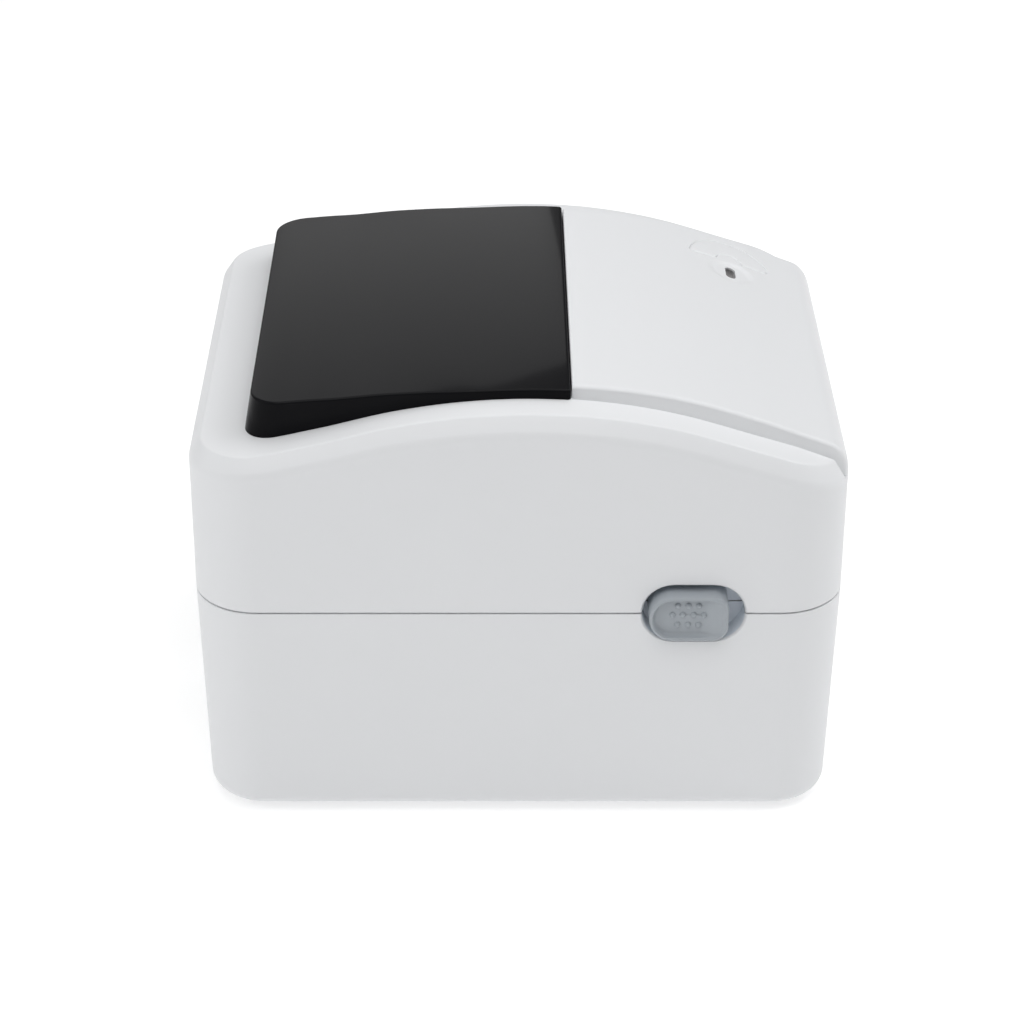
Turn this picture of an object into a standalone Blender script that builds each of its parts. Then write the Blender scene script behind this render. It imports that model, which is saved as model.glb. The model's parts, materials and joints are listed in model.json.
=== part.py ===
"""A desktop thermal label printer: a base with the roll bay and drive, and a hinged lid with the print head.

X is the width, Y the depth with the front at -Y, and Z is up. The origin is at the bottom centre, in metres.
"""

from math import atan2, cos, pi, radians, sin, tan

import bmesh
import bpy
from mathutils import Matrix, Vector

# Overall sizes
WIDTH = 0.178
DEPTH = 0.2153
PARTING_Z = 0.0811
PARTING_GAP = 0.0005
CORNER_R = 0.0216
BODY_BOTTOM = 0.0025
WALL = 0.0025
CLEAR = 0.0003
RUN_CLEAR = 0.0001
HALF_W, HALF_D = WIDTH / 2, DEPTH / 2
FRONT, BACK = -HALF_D, HALF_D

# Lid roof: the rim's crest from front to back, as (share of the half depth, height above the parting line)
ROOF = ((-1.0, 0.0475), (-0.86, 0.0528), (-0.72, 0.0576), (-0.48, 0.0655), (-0.26, 0.0699), (-0.04, 0.0714),
        (0.17, 0.0703), (0.38, 0.0668), (0.6, 0.0608), (0.82, 0.0559), (1.0, 0.0555))
RIM_INSET = 0.004
RIM_DROP = 0.0057
BASE_DRAFT = 0.002
BASE_EDGE = 0.004

# Window and centre strip on the lid
WINDOW_HALF = HALF_W - 0.014
WINDOW_LEAN = 0.0004
WINDOW_BACK_LEAN = 0.0022
WINDOW_FRONT = FRONT + 0.09115
WINDOW_BACK = BACK - 0.01835
WINDOW_RISE = ((0.0, 0.0038), (0.28, 0.0038), (0.48, 0.0058), (0.66, 0.0086), (0.82, 0.0115), (1.0, 0.0140))
WINDOW_SKIN = 0.0022
WINDOW_RIM = 0.006
# Centre strip: distance from the front, and height over the rim's crest
STRIP_RISE = ((0.0002, -0.0026), (0.0008, 0.0002), (0.0022, 0.0025), (0.0053, 0.0039), (0.0100, 0.0043),
              (0.0168, 0.0045), (0.0294, 0.0052), (0.0439, 0.0053), (0.0583, 0.0050), (0.0726, 0.0046),
              (0.0890, 0.0042))

# Hinge at the back
HINGE_Y = DEPTH / 2 - 0.0025
HINGE_Z = PARTING_Z - 0.0085
HINGE_X = HALF_W - 0.044
TAB_WIDTH = 0.016
KNUCKLE_R = 0.0025
HINGE_PIN_R = 0.0012
HINGE_CLEAR = 0.0004
HINGE_BOSS = 0.005

# Side latches
LATCH_Y = FRONT + 0.05205
LATCH_LENGTH = 0.026
LATCH_HEIGHT = 0.0166
LATCH_PROUD = 0.004
LATCH_TRAVEL = 0.004
LATCH_BACK_R = 0.0080
LATCH_FRONT_R = 0.0052
LATCH_RIM = 0.0014
LATCH_DISH = 0.0015
POCKET_Y = LATCH_Y - 0.0017
POCKET_LENGTH = LATCH_LENGTH + LATCH_TRAVEL + 0.0038
POCKET_HEIGHT = LATCH_HEIGHT + 0.0044
POCKET_DEPTH = 0.0085

# Label path, platen and gears
SIDE_BAY = 0.034
LABEL_WIDTH = WIDTH - 2 * SIDE_BAY
PLATEN_Y = FRONT + 0.01965
PLATEN_Z = PARTING_Z - 0.0076
PLATEN_R = 0.008
SHAFT_R = 0.003
CHEEK_X = LABEL_WIDTH / 2 + 0.007
CHEEK = 0.003
CHEEK_FRONT = FRONT + 0.00815
CHEEK_BACK = FRONT + 0.05465
GEAR_MODULE = 0.0006
PLATEN_TEETH = 36
IDLER_TEETH = 48
MOTOR_TEETH = 16
GEAR_WIDTH = 0.004
IDLER_ANGLE = radians(60)
MOTOR_ANGLE = radians(115)
MOTOR_SIZE = 0.032
MOTOR_LENGTH = 0.0415
EXIT_LOW = PARTING_Z - 0.0046
EXIT_HIGH = PARTING_Z + 0.0045
RAIL_Y = FRONT + 0.04115
RAIL_Z = PARTING_Z - 0.0091

# Roll bay
TRAY_Z = 0.0140
TRAY = 0.0025
TRAY_HALF = HALF_W - 0.009
TRAY_BACK = BACK - 0.02365
HUB_Y = BACK - 0.07165
HUB_Z = PARTING_Z - 0.0111
HUB_R = 0.0122
GUIDE_X = LABEL_WIDTH / 2 + 0.001
GUIDE = 0.003
GUIDE_TRAVEL = 0.024
RACK_MODULE = 0.001
GUIDE_TEETH = 14

# Feed button, on the strip's slope
FEED_X = WINDOW_HALF - 0.0235
FEED_Y = FRONT + 0.03115
FEED_R = 0.015
FEED_BITE_R = 0.005
FEED_THICK = 0.0045
FEED_TRAVEL = 0.001
FEED_STEM_U = 0.0088
FEED_BOARD_IN = 0.0125
FEED_BOARD = 0.0014
LENS_U = -0.009
LENS_LENGTH = 0.0084
LENS_WIDTH = 0.0036

TOOTH_SHARE = 0.42
LEFT, RIGHT = -1, 1

for old in list(bpy.data.objects):
    bpy.data.objects.remove(old, do_unlink=True)


def material(name, colour, roughness, metallic=0.0):
    made = bpy.data.materials.new(name)
    made.use_nodes = True
    shader = made.node_tree.nodes["Principled BSDF"]
    shader.inputs["Base Color"].default_value = (*colour, 1.0)
    shader.inputs["Roughness"].default_value = roughness
    shader.inputs["Metallic"].default_value = metallic
    return made


LIGHT_GREY = ("light grey plastic", (0.62, 0.62, 0.63), 0.45)
BLACK_GLOSS = ("smoked window", (0.01, 0.01, 0.011), 0.08)
DARK_PLASTIC = ("dark plastic", (0.05, 0.05, 0.055), 0.5)
BLUE_GREY = ("blue grey plastic", (0.28, 0.32, 0.38), 0.45)
RUBBER = ("black rubber", (0.03, 0.03, 0.03), 0.85)
STEEL = ("bright steel", (0.6, 0.6, 0.62), 0.3, 1.0)
ALUMINIUM = ("aluminium", (0.75, 0.75, 0.77), 0.35, 1.0)
GEAR_PLASTIC = ("natural acetal", (0.85, 0.84, 0.8), 0.4)
BOARD = ("green board", (0.02, 0.2, 0.08), 0.5)
LENS = ("lens", (0.2, 0.21, 0.22), 0.15)
CERAMIC = ("glazed ceramic", (0.8, 0.78, 0.72), 0.2)


def along(points, y):
    """Height at y on a smooth curve through (y, z) points, level beyond its ends."""
    if y <= points[0][0]:
        return points[0][1]
    for i in range(len(points) - 1):
        (y0, z0), (y1, z1) = points[i], points[i + 1]
        if y <= y1:
            before = points[max(i - 1, 0)]
            after = points[min(i + 2, len(points) - 1)]
            step = y1 - y0
            slope0 = (z1 - before[1]) / (y1 - before[0]) * step
            slope1 = (after[1] - z0) / (after[0] - y0) * step
            t = (y - y0) / step
            rise = (3 * t * t - 2 * t ** 3) * (z1 - z0)
            return z0 + rise + (t ** 3 - 2 * t * t + t) * slope0 + (t ** 3 - t * t) * slope1
    return points[-1][1]


def roof(y):
    """Height of the rim's crest."""
    return PARTING_Z + along(ROOF, y / (DEPTH / 2))


def window_top(y):
    return roof(y) + along(WINDOW_RISE, (y - WINDOW_FRONT) / (WINDOW_BACK - WINDOW_FRONT))


def strip_top(y):
    return roof(y) + along(STRIP_RISE, y - FRONT)


def rounded(half_x, front, back, radius, inset=0.0, corner=5, stations=14):
    """Right half of a rounded rectangle, front to back, as (x, y) points. The left half mirrors it."""
    r = max(radius - inset, 0.0008)
    x, y0, y1 = half_x - inset, front + inset, back - inset
    turn = [i * pi / 2 / corner for i in range(corner + 1)]
    first = [(x - r + r * sin(a), y0 + r - r * cos(a)) for a in turn]
    last = [(x - r + r * cos(a), y1 - r + r * sin(a)) for a in turn]
    side = [(x, y0 + r + (y1 - y0 - 2 * r) * i / stations) for i in range(1, stations)]
    return first + side + last


def slab(name, rings):
    """A closed body from rings, bottom to top: each a right-hand outline and a height, or a height of y."""
    bm = bmesh.new()
    loops = []
    for outline, height in rings:
        level = height if callable(height) else lambda y, z=height: z
        right = [bm.verts.new((x, y, level(y))) for x, y in outline]
        left = [bm.verts.new((-x, y, level(y))) for x, y in outline]
        loops.append((right, left))
    for (right0, left0), (right1, left1) in zip(loops, loops[1:]):
        for i in range(len(right0) - 1):
            bm.faces.new((right0[i], right0[i + 1], right1[i + 1], right1[i]))
            bm.faces.new((left0[i + 1], left0[i], left1[i], left1[i + 1]))
        bm.faces.new((left0[0], right0[0], right1[0], left1[0]))
        bm.faces.new((right0[-1], left0[-1], left1[-1], right1[-1]))
    for right, left in (loops[0], loops[-1]):
        for i in range(len(right) - 1):
            bm.faces.new((right[i], right[i + 1], left[i + 1], left[i]))
    return body_of(name, bm)


def body_of(name, bm, at=None):
    bmesh.ops.recalc_face_normals(bm, faces=bm.faces)
    mesh = bpy.data.meshes.new(name)
    if at is not None:
        bm.transform(at)
    bm.to_mesh(mesh)
    bm.free()
    made = bpy.data.objects.new(name, mesh)
    bpy.context.scene.collection.objects.link(made)
    return made


def box(name, low, high, at=None):
    bm = bmesh.new()
    bmesh.ops.create_cube(bm, size=1.0)
    for vert in bm.verts:
        vert.co = [low[i] + (high[i] - low[i]) * (vert.co[i] + 0.5) for i in range(3)]
    return body_of(name, bm, at)


def prism(name, outline, axis, low, high, at=None):
    """An outline pushed along an axis. Its points are (y, z) for X, (x, z) for Y and (x, y) for Z."""
    bm = bmesh.new()
    place = {"X": lambda a, b, c: (c, a, b), "Y": lambda a, b, c: (a, c, b), "Z": lambda a, b,
             c: (a, b, c)}[axis]
    ends = [[bm.verts.new(place(a, b, c)) for a, b in outline] for c in (low, high)]
    for end in ends:
        bm.faces.new(end)
    for i in range(len(outline)):
        j = (i + 1) % len(outline)
        bm.faces.new((ends[0][i], ends[0][j], ends[1][j], ends[1][i]))
    return body_of(name, bm, at)


def circle(a, b, r, sides=20):
    return [(a + r * cos(2 * pi * i / sides), b + r * sin(2 * pi * i / sides)) for i in range(sides)]


def stadium(a, b, length, height, sides=7):
    """A slot outline: straight along its first axis, round at both ends."""
    r = height / 2
    half = length / 2 - r
    right = [(a + half + r * cos(t), b + r * sin(t))
             for t in (pi * (i / sides - 0.5) for i in range(sides + 1))]
    left = [(a - half - r * cos(t), b - r * sin(t))
            for t in (pi * (i / sides - 0.5) for i in range(sides + 1))]
    return right + left


def rod(name, axis, centre, r, low, high, sides=20, at=None):
    return prism(name, circle(*centre, r, sides), axis, low, high, at)


def gear_outline(a, b, teeth, module, phase):
    """Straight-flanked teeth on the (a, b) plane; the first tooth points along the phase angle."""
    pitch = teeth * module / 2
    half = TOOTH_SHARE * pi / teeth
    outline = []
    for i in range(teeth):
        middle = phase + 2 * pi * i / teeth
        for rise, side in ((-1.1, -1), (0.75, -1), (0.75, 1), (-1.1, 1)):
            r = pitch + rise * module
            spread = half - rise * module * tan(radians(20)) / pitch
            outline.append((a + r * cos(middle + side * spread), b + r * sin(middle + side * spread)))
    return outline


def coil(name, start, axis, length, r, wire, turns, sides=6, steps=10):
    """A round-wire spring along an axis from its start, as one closed tube."""
    bm = bmesh.new()
    z = Vector(axis).normalized()
    x = z.orthogonal().normalized()
    y = z.cross(x)
    count = int(turns * steps)
    rings = []
    for i in range(count + 1):
        a = 2 * pi * i / steps
        out = x * cos(a) + y * sin(a)
        middle = Vector(start) + out * r + z * (wire + (length - 2 * wire) * i / count)
        ring = [2 * pi * k / sides for k in range(sides)]
        rings.append([bm.verts.new(middle + out * wire * cos(k) + z * wire * sin(k)) for k in ring])
    for one, two in zip(rings, rings[1:]):
        for k in range(sides):
            bm.faces.new((one[k], one[(k + 1) % sides], two[(k + 1) % sides], two[k]))
    bm.faces.new(rings[0])
    bm.faces.new(rings[-1])
    return body_of(name, bm)


def change(target, operation, tools):
    """Boolean modifiers on target, one for each tool, which is then hidden."""
    for tool in tools:
        step = target.modifiers.new(tool.name, "BOOLEAN")
        step.operation = operation
        step.object = tool
        step.solver = "EXACT"
        tool.hide_render = True
        tool.display_type = "WIRE"
    return target


def add(target, *tools):
    return change(target, "UNION", tools)


def cut(target, *tools):
    return change(target, "DIFFERENCE", tools)


def pivot(name, place, parent=None):
    empty = bpy.data.objects.new(name, None)
    empty.location = place
    bpy.context.scene.collection.objects.link(empty)
    if parent:
        bpy.context.view_layer.update()
        empty.parent = parent
        empty.matrix_parent_inverse = parent.matrix_world.inverted()
    return empty


def finish(part, look, parent=None, smooth=True):
    """Give a part its material and hang it on the empty that it moves with."""
    name, *values = look
    part.data.materials.append(bpy.data.materials.get(name) or material(name, *values))
    if smooth:
        part.data.shade_smooth()
        part.data.set_sharp_from_angle(angle=radians(35))
    if parent:
        bpy.context.view_layer.update()
        part.parent = parent
        part.matrix_parent_inverse = parent.matrix_world.inverted()
    return part


def side_name(side):
    return "left" if side < 0 else "right"


def span(side, near, far):
    """Low and high X of something between two distances from the middle, on one side."""
    return (side * near, side * far) if side > 0 else (side * far, side * near)


BASE_TOP = PARTING_Z - PARTING_GAP / 2
LID_BOTTOM = PARTING_Z + PARTING_GAP / 2
BASE_FLOOR = BODY_BOTTOM + WALL
TRAY_TOP = TRAY_Z + TRAY
POCKET_BACK = HALF_W - POCKET_DEPTH
POCKET_WALL = POCKET_BACK - 0.0023
FEED_SLOPE = atan2(strip_top(FEED_Y + 0.01) - strip_top(FEED_Y - 0.01), 0.02)
FEED_AT = Matrix.Translation((FEED_X, FEED_Y, strip_top(FEED_Y))) @ Matrix.Rotation(FEED_SLOPE, 4, "X")
FEED_IN = FEED_AT.to_3x3() @ Vector((0, 0, -1))

lid_pivot = pivot("lid_pivot", (0, HINGE_Y, HINGE_Z))
platen_pivot = pivot("platen_pivot", (0, PLATEN_Y, PLATEN_Z))
screw_x = TRAY_HALF - 0.008
screw_posts = [(x, y) for x in (-screw_x, screw_x) for y in (CHEEK_BACK + 0.007, TRAY_BACK - 0.008)]


def outline(inset, **more):
    return rounded(HALF_W, -HALF_D, HALF_D, CORNER_R, inset, **more)


def make_base_shell():
    base = slab("base_shell", [
        (outline(BASE_DRAFT + BASE_EDGE), BODY_BOTTOM),
        (outline(BASE_DRAFT + BASE_EDGE * 0.3), BODY_BOTTOM + BASE_EDGE * 0.3),
        (outline(BASE_DRAFT), BODY_BOTTOM + BASE_EDGE),
        (outline(0), BASE_TOP)])
    inner = slab("base_hollow", [
        (outline(BASE_DRAFT + BASE_EDGE + WALL), BASE_FLOOR),
        (outline(BASE_DRAFT + WALL), BASE_FLOOR + BASE_EDGE),
        (outline(WALL), BASE_TOP),
        (outline(WALL), BASE_TOP + 0.01)])
    cut(base, inner)
    for side in (LEFT, RIGHT):
        name = side_name(side)
        low, high = span(side, POCKET_WALL, HALF_W - 0.002)
        front, back = POCKET_Y - POCKET_LENGTH / 2 - 0.0025, POCKET_Y + POCKET_LENGTH / 2 + 0.0025
        add(base,
            box(f"base_pocket_{name}", (low, front, PARTING_Z - POCKET_HEIGHT / 2 - WALL),
                (high, back, BASE_TOP)))
        low, high = span(side, POCKET_WALL - 0.0028, POCKET_WALL + 0.001)
        toe = LATCH_Y + 0.0014
        add(base,
            box(f"latch_catch_{name}", (low, toe, PARTING_Z - 0.0101),
                (high, toe + 0.007, PARTING_Z - 0.0061)))
        low, high = span(side, POCKET_BACK, HALF_W + 0.005)
        shape = stadium(POCKET_Y, PARTING_Z, POCKET_LENGTH, POCKET_HEIGHT)
        cut(base, prism(f"base_pocket_cut_{name}", shape, "X", low, high))
        x0, x1 = span(side, HINGE_X - TAB_WIDTH / 2 - HINGE_CLEAR, HINGE_X + TAB_WIDTH / 2 + HINGE_CLEAR)
        boss_low, boss_high = HINGE_Z - 0.0065, BASE_TOP - 0.0016
        add(base, box(f"hinge_boss_{name}", (x0 - HINGE_BOSS, HINGE_Y - 0.0034, boss_low),
                      (x1 + HINGE_BOSS, HALF_D - 0.001, boss_high)))
        cut(base, box(f"hinge_notch_{name}", (x0, HINGE_Y - 0.01, HINGE_Z - KNUCKLE_R - HINGE_CLEAR),
                      (x1, HALF_D + 0.01, BASE_TOP + 0.01)))
        cut(base, rod(f"hinge_hole_{name}", "X", (HINGE_Y, HINGE_Z), HINGE_PIN_R + RUN_CLEAR,
                      x0 - HINGE_BOSS * 0.8, x1 + HINGE_BOSS * 0.8, 16))
    for i, (x, y) in enumerate(screw_posts):
        add(base, rod(f"tray_post_{i}", "Z", (x, y), 0.004, BASE_FLOOR - 0.001, TRAY_Z - CLEAR, 12))
        cut(base, rod(f"tray_post_hole_{i}", "Z", (x, y), 0.0014, BASE_FLOOR + 0.0005, TRAY_Z + 0.01, 10))
    for i, (x, y) in enumerate(board_posts):
        add(base, rod(f"board_post_{i}", "Z", (x, y), 0.003, BASE_FLOOR - 0.001, BOARD_Z - CLEAR, 10))
    for i, (x, y) in enumerate(foot_places):
        cut(base, rod(f"foot_hole_{i}", "Z", (x, y), FOOT_STEM + CLEAR, 0, BASE_FLOOR + 0.002, 14))
    half = LABEL_WIDTH / 2 + 0.003
    cut(base, box("base_exit", (-half, -HALF_D - 0.01, EXIT_LOW), (half, -HALF_D + 0.008, BASE_TOP + 0.01)))
    for name, (low, high) in rear_ports.items():
        pad = CLEAR
        cut(base, box(f"{name}_hole", (low[0] - pad, HALF_D - 0.012, low[2] - pad),
                      (high[0] + pad, HALF_D + 0.01, high[2] + pad)))
    finish(base, LIGHT_GREY)


FOOT_R, FOOT_STEM = 0.0085, 0.0024
foot_x, foot_y = HALF_W - 0.027, HALF_D - 0.02465
foot_places = [(x, y) for y in (-foot_y, foot_y) for x in (-foot_x, foot_x)]
BOARD_Z = 0.0075
BOARD_T = 0.0016
BOARD_FRONT, BOARD_BACK = BACK - 0.07765, BACK - 0.00915
BOARD_LEFT, BOARD_RIGHT = -HALF_W + 0.031, HALF_W - 0.029
board_posts = [(x, y) for x in (BOARD_LEFT + 0.006, BOARD_RIGHT - 0.008)
               for y in (BOARD_FRONT + 0.006, BOARD_BACK - 0.0045)]
PORT_BACK = BACK - 0.0022
SWITCH_X = HALF_W - 0.027
SWITCH_Z = PARTING_Z - 0.0411
rear_ports = {
    "usb_port": ((-0.0260, BACK - 0.01965, BOARD_Z + BOARD_T + CLEAR), (-0.0140, PORT_BACK, 0.0202)),
    "dc_jack": ((0.0290, BACK - 0.01665, BOARD_Z + BOARD_T + CLEAR), (0.0390, PORT_BACK, 0.0202)),
    "switch_body": ((SWITCH_X - 0.0065, BACK - 0.01465, SWITCH_Z - 0.0115),
                    (SWITCH_X + 0.0065, BACK - 0.0014, SWITCH_Z + 0.0115)),
}


def make_feet():
    for i, (x, y) in enumerate(foot_places):
        name = f"foot_{'front' if y < 0 else 'rear'}_{side_name(x)}"
        foot = rod(name, "Z", (x, y), FOOT_R, 0, BODY_BOTTOM - CLEAR, 20)
        add(foot, rod(f"foot_stem_{i}", "Z", (x, y), FOOT_STEM, BODY_BOTTOM - 0.001, BASE_FLOOR + 0.0015, 14))
        finish(foot, RUBBER)


def make_tray():
    """The inner moulding: the roll bay's floor and back wall, and the two cheeks that carry the platen."""
    tray = box("media_tray", (-TRAY_HALF, CHEEK_BACK - 0.005, TRAY_Z), (TRAY_HALF, TRAY_BACK, TRAY_TOP))
    nose = CHEEK_X + CHEEK - 0.001
    add(tray,
        box("tray_nose", (-nose, CHEEK_FRONT + 0.0005, TRAY_Z + 0.0002),
            (nose, CHEEK_BACK - 0.004, TRAY_TOP - 0.0002)))
    add(tray,
        box("tray_back", (-TRAY_HALF, TRAY_BACK - 0.0022, TRAY_Z + 0.001),
            (TRAY_HALF, TRAY_BACK - 0.0002, PARTING_Z - 0.0191)))
    add(tray, box("tray_front", (-CHEEK_X - 0.001, CHEEK_BACK - 0.003, TRAY_Z + 0.001),
                  (CHEEK_X + 0.001, CHEEK_BACK - 0.0005, PARTING_Z - 0.0111)))
    for side in (LEFT, RIGHT):
        low, high = span(side, CHEEK_X, CHEEK_X + CHEEK)
        name = side_name(side)
        add(tray,
            box(f"cheek_{name}", (low, CHEEK_FRONT, TRAY_Z + 0.001), (high, CHEEK_BACK, PARTING_Z - 0.0021)))
        cut(tray, box(f"bush_slot_{name}", (low - 0.01, PLATEN_Y - BUSH_R - CLEAR, PLATEN_Z),
                      (high + 0.01, PLATEN_Y + BUSH_R + CLEAR, PARTING_Z + 0.01)))
        cut(tray,
            rod(f"bush_seat_{name}", "X", (PLATEN_Y, PLATEN_Z), BUSH_R + CLEAR, low - 0.01, high + 0.01, 20))
    cut(tray,
        box("motor_floor", (CHEEK_X - MOTOR_LENGTH - 0.0025, MOTOR_Y - MOTOR_SIZE / 2 - 0.001, TRAY_Z - 0.01),
                  (CHEEK_X - 0.0002, MOTOR_Y + MOTOR_SIZE / 2 + 0.001, TRAY_TOP + 0.001)))
    cut(tray, rod("motor_boss_hole", "X", (MOTOR_Y, MOTOR_Z), 0.0062, CHEEK_X - 0.01, CHEEK_X + 0.01, 20))
    cut(tray, rod("idler_pin_hole", "X", (IDLER_Y, IDLER_Z), 0.0022, CHEEK_X - 0.01, CHEEK_X + 0.01, 16))
    for side in (LEFT, RIGHT):
        name = side_name(side)
        rack = RACK_CENTRE_Y + side * (RACK_LEG - 0.0003)
        low, high = span(side, GUIDE_X - GUIDE_TRAVEL - 0.001, GUIDE_X + GUIDE + 0.001)
        cut(tray, box(f"guide_slot_{name}", (low, rack - 0.0042, TRAY_Z - 0.01),
                      (high, rack + 0.0042, TRAY_TOP + 0.01)))
    add(tray, rod("pinion_post", "Z", (0, RACK_CENTRE_Y), 0.0022, RACK_LOW, TRAY_Z + 0.001, 14))
    cut(tray, rod("pinion_post_hole", "Z", (0, RACK_CENTRE_Y), 0.0014, RACK_LOW - 0.01, TRAY_Z + 0.0005, 10))
    for i, (x, y) in enumerate(screw_posts):
        cut(tray, rod(f"tray_hole_{i}", "Z", (x, y), 0.0016, TRAY_Z - 0.01, TRAY_TOP + 0.01, 12))
    finish(tray, DARK_PLASTIC)
    for i, (x, y) in enumerate(screw_posts):
        screw(f"tray_screw_{i + 1}", (x, y), TRAY_TOP + CLEAR, TRAY_TOP - 0.009, 1)


def screw(name, centre, seat, tip, up, parent=None):
    """A pan-head screw along Z: head beyond its seat, shank towards its tip."""
    head = rod(name, "Z", centre, 0.0028, *sorted((seat, seat + up * 0.0018)), 12)
    shank = rod(name + "_shank", "Z", centre, 0.0012, *sorted((seat + up * 0.0004, tip)), 10)
    slot_low, slot_high = sorted((seat + up * 0.0010, seat + up * 0.003))
    slot = box(name + "_slot", (centre[0] - 0.0018, centre[1] - 0.0003, slot_low),
               (centre[0] + 0.0018, centre[1] + 0.0003, slot_high))
    cut(add(head, shank), slot)
    finish(head, STEEL, parent)


BUSH_R = 0.0055
IDLER_GAP = GEAR_MODULE * (PLATEN_TEETH + IDLER_TEETH) / 2
MOTOR_GAP = GEAR_MODULE * (IDLER_TEETH + MOTOR_TEETH) / 2
IDLER_Y = PLATEN_Y + IDLER_GAP * cos(IDLER_ANGLE)
IDLER_Z = PLATEN_Z - IDLER_GAP * sin(IDLER_ANGLE)
MOTOR_Y = IDLER_Y + MOTOR_GAP * cos(MOTOR_ANGLE)
MOTOR_Z = IDLER_Z - MOTOR_GAP * sin(MOTOR_ANGLE)
GEAR_X = CHEEK_X + CHEEK + 0.0015


def make_drive():
    """Platen, its bushes, and the gear train to the motor, on the right-hand cheek."""
    roller = rod("platen_roller", "X", (PLATEN_Y, PLATEN_Z), PLATEN_R, -LABEL_WIDTH / 2, LABEL_WIDTH / 2, 28)
    core = rod("roller_bore", "X", (PLATEN_Y, PLATEN_Z), SHAFT_R + RUN_CLEAR, -0.1, 0.1, 16)
    finish(cut(roller, core), RUBBER, platen_pivot)
    shaft = rod("platen_shaft", "X", (PLATEN_Y, PLATEN_Z), SHAFT_R, -CHEEK_X - CHEEK - 0.002,
                GEAR_X + GEAR_WIDTH + 0.001, 16)
    finish(shaft, STEEL, platen_pivot)
    for side in (LEFT, RIGHT):
        low, high = span(side, CHEEK_X - 0.001, CHEEK_X + CHEEK + 0.0008)
        bush = rod(f"platen_bush_{side_name(side)}", "X", (PLATEN_Y, PLATEN_Z), BUSH_R, low, high, 20)
        cut(bush,
            rod(f"bush_bore_{side}", "X", (PLATEN_Y, PLATEN_Z), SHAFT_R + RUN_CLEAR, low - 0.01, high + 0.01,
                20))
        finish(bush, GEAR_PLASTIC)
    to_idler = atan2(IDLER_Z - PLATEN_Z, IDLER_Y - PLATEN_Y)
    teeth = gear_outline(PLATEN_Y, PLATEN_Z, PLATEN_TEETH, GEAR_MODULE, to_idler)
    gear = prism("platen_gear", teeth, "X", GEAR_X, GEAR_X + GEAR_WIDTH)
    cut(gear,
        rod("platen_gear_bore", "X", (PLATEN_Y, PLATEN_Z), SHAFT_R + RUN_CLEAR, GEAR_X - 0.01, GEAR_X + 0.02,
            16))
    finish(gear, GEAR_PLASTIC, platen_pivot)
    idler_pivot = pivot("idler_pivot", (GEAR_X, IDLER_Y, IDLER_Z))
    teeth = gear_outline(IDLER_Y, IDLER_Z, IDLER_TEETH, GEAR_MODULE, to_idler + pi + pi / IDLER_TEETH)
    idler = prism("idler_gear", teeth, "X", GEAR_X, GEAR_X + GEAR_WIDTH)
    cut(idler, rod("idler_bore", "X", (IDLER_Y, IDLER_Z), 0.0021, GEAR_X - 0.01, GEAR_X + 0.02, 20))
    finish(idler, GEAR_PLASTIC, idler_pivot)
    pin = rod("idler_pin", "X", (IDLER_Y, IDLER_Z), 0.0019, CHEEK_X + CLEAR, GEAR_X + GEAR_WIDTH + 0.0004, 16)
    flange = rod("idler_pin_head", "X", (IDLER_Y, IDLER_Z), 0.0035, GEAR_X + GEAR_WIDTH + CLEAR,
                 GEAR_X + GEAR_WIDTH + 0.0013, 14)
    finish(add(pin, flange), STEEL)
    from_idler = atan2(MOTOR_Z - IDLER_Z, MOTOR_Y - IDLER_Y)
    turned = (from_idler - (to_idler + pi + pi / IDLER_TEETH)) / (2 * pi / IDLER_TEETH) % 1.0
    phase = from_idler + pi + (0.5 + turned) * 2 * pi / MOTOR_TEETH
    motor_pivot = pivot("motor_pivot", (GEAR_X, MOTOR_Y, MOTOR_Z))
    pinion = prism("motor_pinion", gear_outline(MOTOR_Y, MOTOR_Z, MOTOR_TEETH, GEAR_MODULE, phase), "X",
                   GEAR_X, GEAR_X + GEAR_WIDTH)
    add(pinion,
        rod("motor_shaft", "X", (MOTOR_Y, MOTOR_Z), 0.0022, CHEEK_X - 0.008, GEAR_X + GEAR_WIDTH + 0.001, 14))
    finish(pinion, STEEL, motor_pivot)
    half = MOTOR_SIZE / 2
    c = 0.0035
    square = [(MOTOR_Y + y, MOTOR_Z + z) for y, z in (
        (-half + c, -half), (half - c, -half), (half, -half + c), (half, half - c),
        (half - c, half), (-half + c, half), (-half, half - c), (-half, -half + c))]
    motor = prism("stepper_motor", square, "X", CHEEK_X - MOTOR_LENGTH, CHEEK_X - CLEAR)
    add(motor, rod("motor_boss", "X", (MOTOR_Y, MOTOR_Z), 0.0058, CHEEK_X - 0.001, CHEEK_X + 0.0015, 20))
    cut(motor, rod("motor_bore", "X", (MOTOR_Y, MOTOR_Z), 0.0024, CHEEK_X - 0.009, CHEEK_X + 0.01, 16))
    finish(motor, STEEL)


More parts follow.
